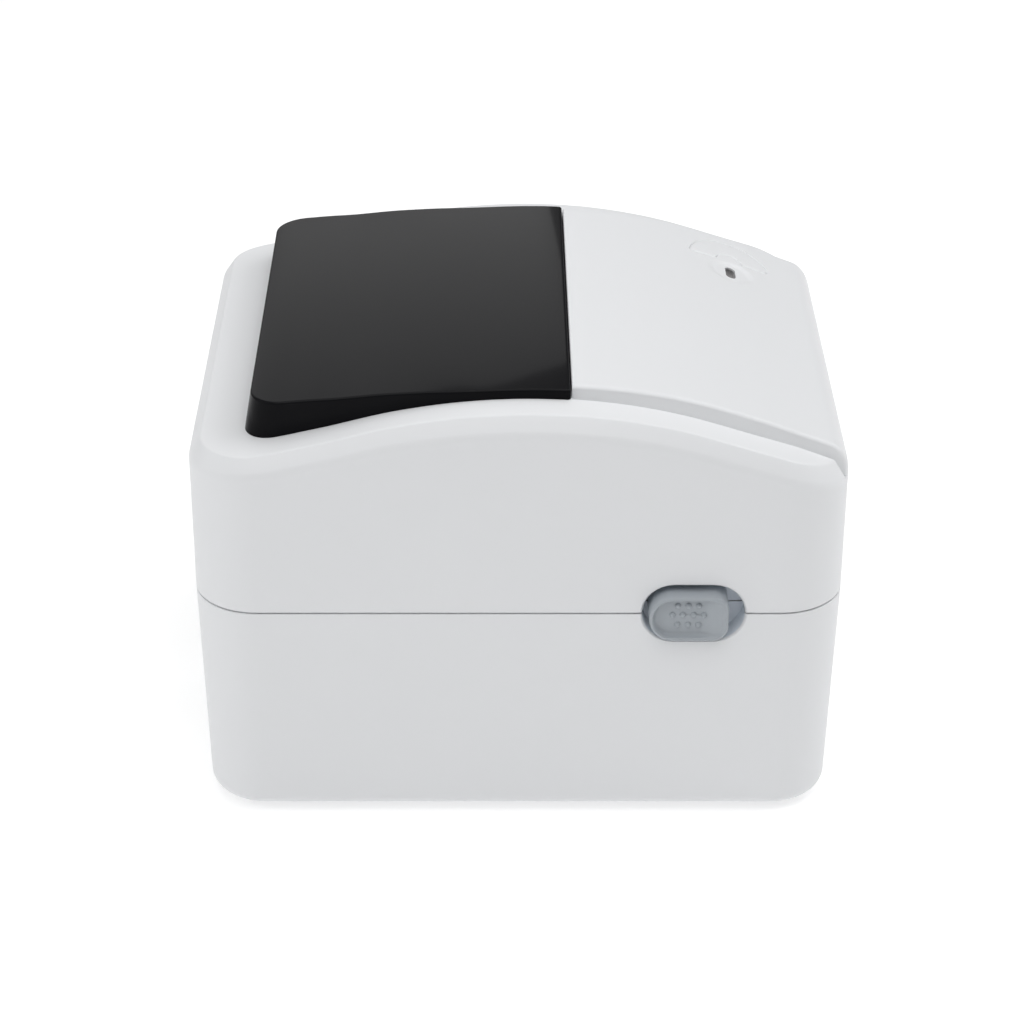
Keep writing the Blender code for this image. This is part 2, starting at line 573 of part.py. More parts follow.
def make_front():
    """Label lip, under the exit, and the movable media sensor on its rail."""
    half = LABEL_WIDTH / 2
    lip = prism("label_lip", [(FRONT + y, PARTING_Z - drop) for y, drop in (
        (0.0032, 0.0161), (0.00915, 0.0161), (0.00915, 0.0051), (0.00665, 0.0036), (0.0032, 0.0049))], "X",
        -half, half)
    finish(lip, DARK_PLASTIC)
    reach = CHEEK_X - CLEAR
    rail = box("sensor_rail", (-reach, RAIL_Y - 0.0025, RAIL_Z - 0.0020), (reach, RAIL_Y + 0.0025, RAIL_Z))
    finish(rail, ALUMINIUM)
    top = RAIL_Z + 0.0045
    sensor = box("media_sensor", (-0.006, RAIL_Y - 0.004, RAIL_Z + CLEAR), (0.006, RAIL_Y + 0.004, top))
    for i, y in enumerate((RAIL_Y - 0.0025 - CLEAR - 0.0012, RAIL_Y + 0.0025 + CLEAR)):
        add(sensor,
            box(f"sensor_leg_{i}", (-0.005, y, RAIL_Z - 0.0030), (0.005, y + 0.0012, RAIL_Z + 0.0015)))
    cut(sensor, rod("sensor_eye", "Z", (0, RAIL_Y), 0.0012, top - 0.0013, top + 0.01, 12))
    finish(sensor, DARK_PLASTIC, pivot("sensor_slide", (0, RAIL_Y, top)))


RACK_CENTRE_Y = HUB_Y - 0.024
RACK_LEG = GUIDE_TEETH * RACK_MODULE / 2 - 0.0002
RACK_LOW = TRAY_Z - 0.0040
RACK_HIGH = TRAY_Z - 0.0006


def rack_outline(side):
    """A toothed bar on the (x, y) plane, whose teeth face the pinion."""
    pitch = pi * RACK_MODULE
    line = RACK_CENTRE_Y + side * GUIDE_TEETH * RACK_MODULE / 2
    back = line + side * 0.0032
    count = int((GUIDE_X - 0.004) / pitch)
    half = TOOTH_SHARE * pitch / 2
    slant = tan(radians(20)) * RACK_MODULE
    points = []
    for i in range(-3, count):
        middle = side * (i + 0.5) * pitch
        for rise, end in ((-1.1, -1), (0.75, -1), (0.75, 1), (-1.1, 1)):
            points.append((middle + side * end * (half - rise * slant), line - side * rise * RACK_MODULE))
    return points + [(side * (GUIDE_X + GUIDE * 0.5), points[-1][1]), (side * (GUIDE_X + GUIDE * 0.5), back),
                     (points[0][0], back)]


def make_guides():
    """Two roll guides on racks, and the pinion that centres them."""
    teeth = gear_outline(0, RACK_CENTRE_Y, GUIDE_TEETH, RACK_MODULE, pi / 2)
    pinion = prism("guide_pinion", teeth, "Z", RACK_LOW + CLEAR, RACK_HIGH)
    cut(pinion,
        rod("guide_pinion_bore", "Z", (0, RACK_CENTRE_Y), 0.0024, RACK_LOW - 0.01, RACK_HIGH + 0.01, 20))
    finish(pinion, GEAR_PLASTIC, pivot("guide_pinion_pivot", (0, RACK_CENTRE_Y, RACK_HIGH)))
    screw("pinion_screw", (0, RACK_CENTRE_Y), RACK_LOW - CLEAR, TRAY_Z - 0.0012, -1)
    for side in (LEFT, RIGHT):
        name = side_name(side)
        slide = pivot(f"guide_slide_{name}", (side * GUIDE_X, HUB_Y, HUB_Z))
        low, high = span(side, GUIDE_X, GUIDE_X + GUIDE)
        top = [(HUB_Y + 0.024 * cos(a), HUB_Z + 0.024 * sin(a)) for a in (pi * i / 10 for i in range(11))]
        foot = [(HUB_Y - 0.030, TRAY_TOP + 0.0005), (HUB_Y + 0.030, TRAY_TOP + 0.0005)]
        guide = prism(f"guide_{name}", top + foot, "X", low, high)
        rack = prism(f"rack_{name}", rack_outline(side), "Z", RACK_LOW, RACK_HIGH)
        y = RACK_CENTRE_Y + side * (RACK_LEG + 0.001)
        leg = box(f"guide_leg_{name}", (low, y - 0.0022, RACK_LOW + 0.0005),
                  (high, y + 0.0022, TRAY_TOP + 0.004))
        add(guide, leg, rack)
        inner, outer = sorted((side * (GUIDE_X - 0.006), side * (GUIDE_X + 0.001)))
        add(guide, rod(f"hub_pin_{name}", "X", (HUB_Y, HUB_Z), 0.0040, inner, outer, 16))
        finish(guide, BLUE_GREY, slide)
        low, high = span(side, GUIDE_X - 0.0085, GUIDE_X - CLEAR)
        hub = rod(f"roll_hub_{name}", "X", (HUB_Y, HUB_Z), HUB_R, low, high, 24)
        low, high = span(side, GUIDE_X - 0.0064, GUIDE_X + 0.01)
        cut(hub, rod(f"hub_bore_{name}", "X", (HUB_Y, HUB_Z), 0.0042, low, high, 24))
        finish(hub, BLUE_GREY, pivot(f"hub_pivot_{name}", (side * (GUIDE_X - 0.004), HUB_Y, HUB_Z), slide))


def make_electronics():
    board = box("main_board", (BOARD_LEFT, BOARD_FRONT, BOARD_Z),
                (BOARD_RIGHT, BOARD_BACK, BOARD_Z + BOARD_T))
    top = BOARD_Z + BOARD_T
    # Each chip's name, place as a share of the board, size across and deep, and height
    chips = (("processor", (0.407, 0.321), (0.018, 0.018), 0.0014),
             ("driver", (0.746, 0.292), (0.012, 0.010), 0.0020),
             ("memory", (0.186, 0.292), (0.014, 0.008), 0.0012),
             ("capacitor", (0.898, 0.613), (0.007, 0.007), 0.0028))
    for name, (across, deep), (w, d), h in chips:
        x = BOARD_LEFT + across * (BOARD_RIGHT - BOARD_LEFT)
        y = BOARD_FRONT + deep * (BOARD_BACK - BOARD_FRONT)
        add(board, box(name, (x - w / 2, y - d / 2, top - 0.0002), (x + w / 2, y + d / 2, top + h)))
    finish(board, BOARD)
    low, high = rear_ports["usb_port"]
    usb = box("usb_port", low, high)
    cut(usb, box("usb_socket", (low[0] + 0.0018, high[1] - 0.009, low[2] + 0.0018),
                 (high[0] - 0.0018, high[1] + 0.01, high[2] - 0.0018)))
    middle_x, middle_z = (low[0] + high[0]) / 2, (low[2] + high[2]) / 2
    add(usb, box("usb_tongue", (middle_x - 0.0027, high[1] - 0.011, middle_z - 0.0014),
                 (middle_x + 0.0027, high[1] - 0.001, middle_z + 0.0014)))
    finish(usb, STEEL)
    low, high = rear_ports["dc_jack"]
    jack = box("dc_jack", low, high)
    centre = ((low[0] + high[0]) / 2, (low[2] + high[2]) / 2)
    cut(jack, rod("jack_hole", "Y", centre, 0.0032, high[1] - 0.010, high[1] + 0.01, 20))
    add(jack, rod("jack_pin", "Y", centre, 0.0010, high[1] - 0.012, high[1] - 0.001, 12))
    finish(jack, DARK_PLASTIC)
    low, high = rear_ports["switch_body"]
    switch = box("switch_body", low, high)
    x, z = SWITCH_X, SWITCH_Z
    cut(switch,
        box("switch_well", (x - 0.0046, high[1] - 0.0095, z - 0.0098),
            (x + 0.0046, high[1] + 0.01, z + 0.0098)))
    finish(switch, DARK_PLASTIC)
    y = high[1] - 0.0062
    face = [(0.0058, -0.0086), (0.0046, 0.0), (0.0058, 0.0086), (0.0020, 0.0086), (-0.0030, 0.0026),
            (-0.0030, -0.0026), (0.0020, -0.0086)]
    tilt = -ROCKER_TILT
    turned = [(y + a * cos(tilt) - b * sin(tilt), z + a * sin(tilt) + b * cos(tilt)) for a, b in face]
    rocker = prism("switch_rocker", turned, "X", x - 0.0042, x + 0.0042)
    finish(rocker, DARK_PLASTIC, pivot("rocker_pivot", (x, y, z)))


ROCKER_TILT = radians(7)
HEAD_PIN_Y, HEAD_PIN_Z = FRONT + 0.04765, PARTING_Z + 0.0139
LINER_Z = PARTING_Z + 0.0229
LINER = 0.0025
PLATE_Z = PARTING_Z + 0.0081
LINER_FRONT, LINER_BACK = FRONT + 0.01165, FRONT + 0.06765
liner_x = CHEEK_X - 0.007
liner_posts = [(x, y) for x in (-liner_x, liner_x) for y in (LINER_FRONT + 0.006, LINER_BACK - 0.006)]


def make_lid_shell():
    """The outer lid: rim, flange and centre strip in one moulding, open below."""
    lid = slab("lid_shell", [
        (outline(0), LID_BOTTOM),
        (outline(0), lambda y: roof(y) - RIM_DROP),
        (outline(0.0011), lambda y: roof(y) - RIM_DROP * 0.5),
        (outline(RIM_INSET), roof)])
    ridge = [(FRONT + d, strip_top(FRONT + d)) for d, _ in STRIP_RISE]
    front, back = ridge[0][0], WINDOW_FRONT - 2 * CLEAR
    ridge.append((back, strip_top(back)))
    top, low = PARTING_Z + 0.080, PARTING_Z + 0.019
    block = [(back, roof(back) - 0.012), (back, top), (front, top), (front, low), (front + 0.017, low)]
    x = WINDOW_HALF
    strip = prism("strip_block", block, "X", -x, x)
    plan = slab("strip_plan", [(outline(0.0002), low - 0.01), (outline(0.0002), top + 0.01)])
    add(lid, change(strip, "INTERSECT", [plan]))
    above = [(front - 0.004, top + 0.01), (front - 0.004, low + 0.01), *ridge, (back + 0.001, ridge[-1][1]),
             (back + 0.001, top + 0.01)]
    cut(lid, prism("strip_shape", above, "X", -x - 0.0005, x + 0.0005))
    inner = slab("lid_hollow", [
        (outline(WALL), LID_BOTTOM - 0.01),
        (outline(WALL), lambda y: roof(y) - RIM_DROP - 0.004),
        (outline(WALL + 0.006), lambda y: roof(y) - WALL - 0.0008)])
    cut(lid, inner)
    opening = rounded(OPENING_HALF, OPENING_FRONT, OPENING_BACK, 0.006, 0, corner=4)
    cut(lid, slab("window_opening", [(opening, PARTING_Z + 0.039), (opening, PARTING_Z + 0.089)]))
    for side in (LEFT, RIGHT):
        name = side_name(side)
        low, high = span(side, POCKET_WALL, HALF_W - 0.001)
        front, back = POCKET_Y - POCKET_LENGTH / 2 - 0.0025, POCKET_Y + POCKET_LENGTH / 2 + 0.0025
        add(lid,
            box(f"lid_pocket_{name}", (low, front, LID_BOTTOM),
                (high, back, PARTING_Z + POCKET_HEIGHT / 2 + WALL)))
        low, high = span(side, POCKET_WALL - 0.0034, POCKET_WALL + 0.001)
        add(lid, box(f"latch_spring_stop_{name}", (low, front - 0.0002, PARTING_Z + 0.0024),
                     (high, front + 0.0020, PARTING_Z + 0.0084)))
        low, high = span(side, POCKET_BACK, HALF_W + 0.005)
        shape = stadium(POCKET_Y, PARTING_Z, POCKET_LENGTH, POCKET_HEIGHT)
        cut(lid, prism(f"lid_pocket_cut_{name}", shape, "X", low, high))
        low, high = span(side, POCKET_WALL - 0.01, POCKET_BACK + 0.001)
        cut(lid,
            box(f"latch_neck_slot_{name}", (low, LATCH_Y - 0.006 - LATCH_TRAVEL - 0.0005, PARTING_Z + 0.0024),
                     (high, LATCH_Y + 0.0065, PARTING_Z + 0.0074)))
        x0, x1 = span(side, HINGE_X - TAB_WIDTH / 2, HINGE_X + TAB_WIDTH / 2)
        tab_top = PARTING_Z + 0.0109
        tab = [(HINGE_Y - KNUCKLE_R, tab_top), (HINGE_Y - KNUCKLE_R, HINGE_Z)]
        tab += [(HINGE_Y - KNUCKLE_R * cos(a), HINGE_Z - KNUCKLE_R * sin(a))
                for a in (pi * i / 8 for i in range(1, 8))]
        tab += [(HINGE_Y + KNUCKLE_R - 0.00005, HINGE_Z), (HINGE_Y + KNUCKLE_R - 0.00005, tab_top)]
        add(lid, prism(f"hinge_tab_{name}", tab, "X", x0, x1))
        cut(lid,
            rod(f"knuckle_hole_{name}", "X", (HINGE_Y, HINGE_Z), HINGE_PIN_R + RUN_CLEAR, x0 - 0.01,
                x1 + 0.01, 20))
        pin = rod(f"hinge_pin_{name}", "X", (HINGE_Y, HINGE_Z), HINGE_PIN_R, x0 - 0.0034, x1 + 0.0034, 16)
        finish(pin, STEEL)
    for i, (px, py) in enumerate(liner_posts):
        add(lid, rod(f"liner_post_{i}", "Z", (px, py), 0.004, LINER_Z + LINER + CLEAR, roof(py) - 0.002, 12))
        cut(lid, rod(f"liner_post_hole_{i}", "Z", (px, py), 0.0014, LINER_Z, LINER_Z + LINER + 0.009, 10))
    half = LABEL_WIDTH / 2 + 0.003
    cut(lid, box("lid_exit", (-half, -HALF_D - 0.01, LID_BOTTOM - 0.01), (half, -HALF_D + 0.006, EXIT_HIGH)))
    for i, (u, v) in enumerate(((-0.012, -0.009), (-0.012, 0.009), (0.018, -0.009), (0.018, 0.009))):
        add(lid, rod(f"feed_post_{i}", "Z", (u, v), 0.0022, -FEED_BOARD_IN + CLEAR, -0.0035, 10, FEED_AT))
    cut(lid, prism("feed_hole", moon(CLEAR), "Z", -0.02, 0.01, FEED_AT))
    cut(lid, prism("lens_hole", lens_outline(CLEAR / 2), "Z", -0.02, 0.01, FEED_AT))
    finish(lid, LIGHT_GREY, lid_pivot)


OPENING_HALF = WINDOW_HALF - WINDOW_RIM
OPENING_FRONT, OPENING_BACK = WINDOW_FRONT + WINDOW_RIM, WINDOW_BACK - WINDOW_RIM - 0.0013


def moon(grow, turn=14):
    """The feed button's half-moon with its round bite, grown by a gap, on its own plane."""
    quarter = [pi * (i / turn - 0.5) for i in range(turn + 1)]
    arc = [[(FEED_R + grow) * cos(a), (FEED_R + grow) * sin(a)] for a in quarter]
    bite = [[(FEED_BITE_R - grow) * cos(a), (FEED_BITE_R - grow) * sin(a)] for a in reversed(quarter)]
    for end in (arc[0], arc[-1], bite[0], bite[-1]):
        end[0] -= grow
    return arc + bite


def lens_outline(grow):
    return stadium(LENS_U, 0, LENS_LENGTH + 2 * grow, LENS_WIDTH + 2 * grow, 5)


def make_window():
    """The smoked window: a shallow cap over the roll bay, with a rim that drops into the lid's opening."""
    def seat(y):
        return roof(y) + CLEAR

    def wide(inset):
        return rounded(WINDOW_HALF, WINDOW_FRONT, WINDOW_BACK, 0.010, inset, corner=4)

    def tapered(inset):
        return [(x * (1 - WINDOW_LEAN / WINDOW_HALF),
                 y if y < 0 else y * (1 - WINDOW_BACK_LEAN / WINDOW_BACK))
                for x, y in wide(inset)]

    window = slab("lid_window", [
        (wide(0), seat),
        (tapered(0), lambda y: window_top(y) - 0.0008),
        (tapered(0.0010), window_top)])
    half, front, back = OPENING_HALF - CLEAR, OPENING_FRONT + CLEAR, OPENING_BACK - CLEAR
    rim = rounded(half, front, back, 0.0057, 0, corner=4)
    hollow = rounded(half, front, back, 0.0057, 0.0015, corner=4)
    add(window, slab("window_rim", [(rim, lambda y: roof(y) - 0.0035), (rim, lambda y: roof(y) + 0.0015)]))
    cut(window,
        slab("window_hollow",
             [(hollow, lambda y: roof(y) - 0.01), (hollow, lambda y: window_top(y) - WINDOW_SKIN)]))
    finish(window, BLACK_GLOSS, lid_pivot)


def make_head():
    """Liner, sprung head bracket, print head and tear bar, all in the lid."""
    liner = box("lid_liner", (-CHEEK_X - 0.0005, LINER_FRONT, LINER_Z),
                (CHEEK_X + 0.0005, LINER_BACK, LINER_Z + LINER))
    for side in (LEFT, RIGHT):
        low, high = span(side, CHEEK_X - 0.0030, CHEEK_X - 0.0008)
        add(liner, box(f"liner_cheek_{side}", (low, HEAD_PIN_Y - 0.005, HEAD_PIN_Z - 0.005),
                       (high, HEAD_PIN_Y + 0.005, LINER_Z + 0.001)))
    cut(liner, rod("liner_pin_hole", "X", (HEAD_PIN_Y, HEAD_PIN_Z), 0.0016, -0.08, 0.08, 16))
    for i, (x, y) in enumerate(liner_posts):
        cut(liner, rod(f"liner_hole_{i}", "Z", (x, y), 0.0016, LINER_Z - 0.01, LINER_Z + 0.01, 12))
        screw(f"liner_screw_{i + 1}", (x, y), LINER_Z - CLEAR, LINER_Z + LINER + 0.007, -1, lid_pivot)
    finish(liner, DARK_PLASTIC, lid_pivot)
    pin = rod("head_pivot_pin", "X", (HEAD_PIN_Y, HEAD_PIN_Z), 0.0015, -CHEEK_X, CHEEK_X, 16)
    finish(pin, STEEL, lid_pivot)
    head = pivot("head_pivot", (0, HEAD_PIN_Y, HEAD_PIN_Z), lid_pivot)
    half, front = CHEEK_X - 0.006, FRONT + 0.00965
    bracket = box("head_bracket", (-half, front, PLATE_Z - 0.0016), (half, HEAD_PIN_Y + 0.0035, PLATE_Z))
    for side in (LEFT, RIGHT):
        low, high = span(side, half - 0.0016, half)
        add(bracket, box(f"bracket_ear_{side}", (low, HEAD_PIN_Y - 0.0035, PLATE_Z - 0.0012),
                         (high, HEAD_PIN_Y + 0.0034, HEAD_PIN_Z + 0.0035)))
    cut(bracket, rod("bracket_pin_hole", "X", (HEAD_PIN_Y, HEAD_PIN_Z), 0.0016, -0.08, 0.08, 20))
    finish(bracket, STEEL, head)
    half = LABEL_WIDTH / 2
    sink = box("head_heatsink", (-half, front + 0.0020, PLATE_Z - 0.0044),
               (half, front + 0.0240, PLATE_Z - 0.0019))
    finish(sink, ALUMINIUM, head)
    low_z = PLATEN_Z + PLATEN_R + CLEAR
    print_head = prism("print_head", [
        (PLATEN_Y - 0.007, low_z + 0.0010), (PLATEN_Y - 0.003, low_z), (PLATEN_Y + 0.006, low_z),
        (PLATEN_Y + 0.010, low_z + 0.0008), (PLATEN_Y + 0.010, PLATE_Z - 0.0047),
        (PLATEN_Y - 0.007, PLATE_Z - 0.0047)],
        "X", -half + 0.001, half - 0.001)
    finish(print_head, CERAMIC, head)
    for side in (LEFT, RIGHT):
        spring = coil(f"head_spring_{side_name(side)}", (side * 0.034, PLATEN_Y + 0.002, PLATE_Z + CLEAR),
                      (0, 0, 1),
                      LINER_Z - PLATE_Z - 2 * CLEAR, 0.0032, 0.0005, 5)
        finish(spring, STEEL, head)
    teeth = 28
    edge = []
    for i in range(teeth):
        edge += [(-half + 2 * half * i / teeth, EXIT_HIGH + 0.0002),
                 (-half + 2 * half * (i + 0.5) / teeth, EXIT_HIGH - 0.0010)]
    edge.append((half, EXIT_HIGH + 0.0002))
    bar = prism("tear_bar", edge + [(half, EXIT_HIGH + 0.0079), (-half, EXIT_HIGH + 0.0079)], "Y",
                -HALF_D + WALL + CLEAR, -HALF_D + WALL + 0.0015)
    finish(bar, STEEL, lid_pivot)


def latch_outline(inset, turn=6):
    """The latch pad's outline as (y, z): nearly half round at the back, with tighter corners at the front."""
    half_y, half_z = LATCH_LENGTH / 2 - inset, LATCH_HEIGHT / 2 - inset
    back, front = LATCH_BACK_R - inset, LATCH_FRONT_R - inset
    bends = [pi / 2 * i / turn for i in range(turn + 1)]
    upper = [(half_y - back + back * cos(a), half_z - back + back * sin(a)) for a in bends]
    upper += [(-half_y + front - front * sin(a), half_z - front + front * cos(a)) for a in bends]
    return [(LATCH_Y + y, PARTING_Z + z) for y, z in upper + [(y, -z) for y, z in reversed(upper)]]


def make_latches():
    for side in (LEFT, RIGHT):
        name = side_name(side)
        slide = pivot(f"latch_slide_{name}", (side * HALF_W, LATCH_Y, PARTING_Z), lid_pivot)
        low, high = span(side, POCKET_BACK + 0.0005, HALF_W + LATCH_PROUD)
        button = prism(f"latch_button_{name}", latch_outline(0), "X", low, high)
        low, high = span(side, HALF_W + LATCH_PROUD - LATCH_DISH, HALF_W + LATCH_PROUD + 0.01)
        cut(button, prism(f"latch_dish_{name}", latch_outline(LATCH_RIM), "X", low, high))
        low, high = span(side, POCKET_WALL - 0.0012, POCKET_BACK + 0.002)
        add(button, box(f"latch_neck_{name}", (low, LATCH_Y - 0.006, PARTING_Z + 0.0029),
                        (high, LATCH_Y + 0.006, PARTING_Z + 0.0069)))
        low, high = span(side, POCKET_WALL - 0.0026, POCKET_WALL - CLEAR)
        add(button, box(f"latch_plate_{name}", (low, LATCH_Y - 0.008, PARTING_Z + 0.0011),
                        (high, LATCH_Y + 0.008, PARTING_Z + 0.0089)))
        arm = [(LATCH_Y + y, PARTING_Z + z) for y, z in (
            (-0.008, 0.0029), (-0.008, -0.0136), (0.001, -0.0136), (0.001, -0.0111), (-0.004, -0.0106),
            (-0.004, 0.0029))]
        add(button, prism(f"latch_hook_{name}", arm, "X", low, high))
        finish(button, BLUE_GREY, slide)
        stop = POCKET_Y - POCKET_LENGTH / 2 - 0.0005 + CLEAR
        spring = coil(f"latch_spring_{name}", (side * (POCKET_WALL - 0.0016), stop, PARTING_Z + 0.0051),
                      (0, 1, 0),
                      LATCH_Y - 0.008 - CLEAR - stop, 0.0009, 0.0003, 6)
        finish(spring, STEEL, slide)


def make_feed():
    """Feed button and status lens in the strip's slope, over their small board."""
    press = pivot("feed_press", FEED_AT.translation, lid_pivot)
    button = prism("feed_button", moon(0), "Z", -FEED_THICK, 0.0003, FEED_AT)
    tip = -FEED_BOARD_IN + FEED_BOARD + FEED_TRAVEL + CLEAR
    stem = rod("feed_stem", "Z", (FEED_STEM_U, 0), 0.0016, tip, -FEED_THICK + 0.0005, 12, FEED_AT)
    finish(add(button, stem), LIGHT_GREY, press)
    lens = prism("status_lens", lens_outline(-CLEAR / 2), "Z", -0.0070, -0.0006, FEED_AT)
    finish(lens, LENS, lid_pivot)
    board = box("feed_board", (-0.015, -0.012, -FEED_BOARD_IN - FEED_BOARD), (0.021, 0.012, -FEED_BOARD_IN),
                FEED_AT)
    finish(board, BOARD, lid_pivot)
    start = FEED_AT @ Vector((FEED_STEM_U, 0, -FEED_BOARD_IN + CLEAR))
    length = FEED_BOARD_IN - FEED_THICK - 2 * CLEAR
    spring = coil("feed_spring", start, -FEED_IN, length, 0.0028, 0.0003, 4)
    finish(spring, STEEL, press)


make_base_shell()
make_feet()
make_tray()
make_drive()
make_front()
make_guides()
make_electronics()
make_lid_shell()
make_window()
make_head()
make_latches()
make_feed()
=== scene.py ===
# %% [markdown]
# # A desktop label printer
# A thermal label printer is a plastic box in two halves. The lower half holds the roll of labels and the
# motor, and the upper half swings up on a hinge at the back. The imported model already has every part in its
# true place, so this lesson builds fine versions of the pieces that show and gives every piece a finish.

import json
from math import atan2, cos, hypot, pi, radians, sin, sqrt, tan

import bmesh
import bpy
from mathutils import Matrix, Vector
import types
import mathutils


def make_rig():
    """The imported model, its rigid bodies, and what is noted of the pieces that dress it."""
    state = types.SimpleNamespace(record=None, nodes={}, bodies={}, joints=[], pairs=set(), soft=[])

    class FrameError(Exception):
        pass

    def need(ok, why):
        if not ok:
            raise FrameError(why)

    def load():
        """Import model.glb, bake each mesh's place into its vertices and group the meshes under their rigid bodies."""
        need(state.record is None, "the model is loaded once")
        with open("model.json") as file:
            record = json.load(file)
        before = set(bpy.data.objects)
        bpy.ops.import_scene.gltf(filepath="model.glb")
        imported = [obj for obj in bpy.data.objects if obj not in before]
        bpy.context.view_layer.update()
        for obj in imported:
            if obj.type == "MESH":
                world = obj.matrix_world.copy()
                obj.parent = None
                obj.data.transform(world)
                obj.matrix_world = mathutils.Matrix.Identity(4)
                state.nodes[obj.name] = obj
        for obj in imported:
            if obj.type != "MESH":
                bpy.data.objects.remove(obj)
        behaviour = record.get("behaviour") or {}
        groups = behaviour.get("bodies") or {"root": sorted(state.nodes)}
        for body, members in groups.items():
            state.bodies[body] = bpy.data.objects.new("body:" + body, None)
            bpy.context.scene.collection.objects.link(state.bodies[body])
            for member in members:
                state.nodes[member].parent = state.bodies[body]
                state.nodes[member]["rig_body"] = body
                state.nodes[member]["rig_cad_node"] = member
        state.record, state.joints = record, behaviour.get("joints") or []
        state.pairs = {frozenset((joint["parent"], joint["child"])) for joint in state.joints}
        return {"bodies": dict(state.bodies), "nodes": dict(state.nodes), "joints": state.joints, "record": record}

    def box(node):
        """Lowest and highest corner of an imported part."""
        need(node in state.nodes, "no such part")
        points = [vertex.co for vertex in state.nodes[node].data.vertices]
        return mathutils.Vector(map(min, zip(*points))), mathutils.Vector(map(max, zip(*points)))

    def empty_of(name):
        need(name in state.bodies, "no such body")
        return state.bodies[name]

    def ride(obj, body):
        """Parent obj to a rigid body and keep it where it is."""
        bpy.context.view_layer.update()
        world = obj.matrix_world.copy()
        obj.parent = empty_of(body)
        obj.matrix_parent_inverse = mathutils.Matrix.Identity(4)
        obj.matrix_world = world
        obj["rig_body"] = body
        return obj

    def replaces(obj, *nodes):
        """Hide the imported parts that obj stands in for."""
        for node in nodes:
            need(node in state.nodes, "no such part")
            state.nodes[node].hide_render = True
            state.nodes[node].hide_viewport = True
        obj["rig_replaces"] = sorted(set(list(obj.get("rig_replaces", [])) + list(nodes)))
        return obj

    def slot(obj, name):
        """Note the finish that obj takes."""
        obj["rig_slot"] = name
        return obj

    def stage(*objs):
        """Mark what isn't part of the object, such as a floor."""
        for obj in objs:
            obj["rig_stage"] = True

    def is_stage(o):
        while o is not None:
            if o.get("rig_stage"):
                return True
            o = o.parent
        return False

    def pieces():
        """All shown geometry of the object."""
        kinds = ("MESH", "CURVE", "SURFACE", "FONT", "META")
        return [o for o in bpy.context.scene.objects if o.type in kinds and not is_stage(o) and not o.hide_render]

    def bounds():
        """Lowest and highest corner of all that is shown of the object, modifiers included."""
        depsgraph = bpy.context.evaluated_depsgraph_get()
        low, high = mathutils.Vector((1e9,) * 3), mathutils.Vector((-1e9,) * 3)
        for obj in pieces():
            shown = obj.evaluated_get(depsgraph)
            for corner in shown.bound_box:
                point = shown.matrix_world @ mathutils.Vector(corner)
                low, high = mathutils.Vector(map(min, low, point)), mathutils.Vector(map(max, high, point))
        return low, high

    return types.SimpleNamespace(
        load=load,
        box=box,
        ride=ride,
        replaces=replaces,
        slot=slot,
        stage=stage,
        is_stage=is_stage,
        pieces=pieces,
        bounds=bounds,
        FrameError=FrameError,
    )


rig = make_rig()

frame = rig.load()
nodes = frame["nodes"]
cad_box = [list(corner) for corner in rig.bounds()]
print("pieces in the packed model:", len(nodes), "box:", cad_box)

# %% [markdown]
# ## The main sizes
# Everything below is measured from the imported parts, so that the fine pieces sit exactly where the plain ones
# are. X runs across the printer, Y from front to back, and Z up.

# %% Sizes read from the parts
base_low, base_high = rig.box("base_shell")
lid_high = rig.box("lid_shell")[1]
HALF_W = lid_high.x
HALF_D = lid_high.y
FRONT, BACK = -HALF_D, HALF_D
PARTING_Z = base_high.z + 0.00025
BASE_TOP = base_high.z
LID_BOTTOM = PARTING_Z + 0.00025
BODY_BOTTOM = base_low.z
CORNER_R = 0.0216
WALL = 0.0025
LEFT, RIGHT = -1, 1
print("half width", round(HALF_W, 4), "half depth", round(HALF_D, 4), "parting line", round(PARTING_Z, 4))

# %% [markdown]
# ## Shader maths with ordinary operators
# A finish is a small graph of nodes. Wiring each Math node by hand hides the idea, so a socket gets wrapped
# in a class that knows what + and * mean. Writing `grain * 0.2 + 0.4` then adds the nodes.

# %% A socket that does arithmetic
class Signal:
    """The output of a node, which can be added, subtracted, multiplied and raised like a number."""

    def __init__(self, finish, out):
        self.finish = finish
        self.out = out

    def maths(self, operation, first, second=None):
        inputs = {0: first} if second is None else {0: first, 1: second}
        return self.finish.node("ShaderNodeMath", {"operation": operation}, inputs)

    def __add__(self, other):
        return self.maths("ADD", self, other)

    def __sub__(self, other):
        return self.maths("SUBTRACT", self, other)

    def __rsub__(self, other):
        return self.maths("SUBTRACT", other, self)

    def __mul__(self, other):
        return self.maths("MULTIPLY", self, other)

    def __truediv__(self, other):
        return self.maths("DIVIDE", self, other)

    def __pow__(self, other):
        return self.maths("POWER", self, other)

    __radd__ = __add__
    __rmul__ = __mul__


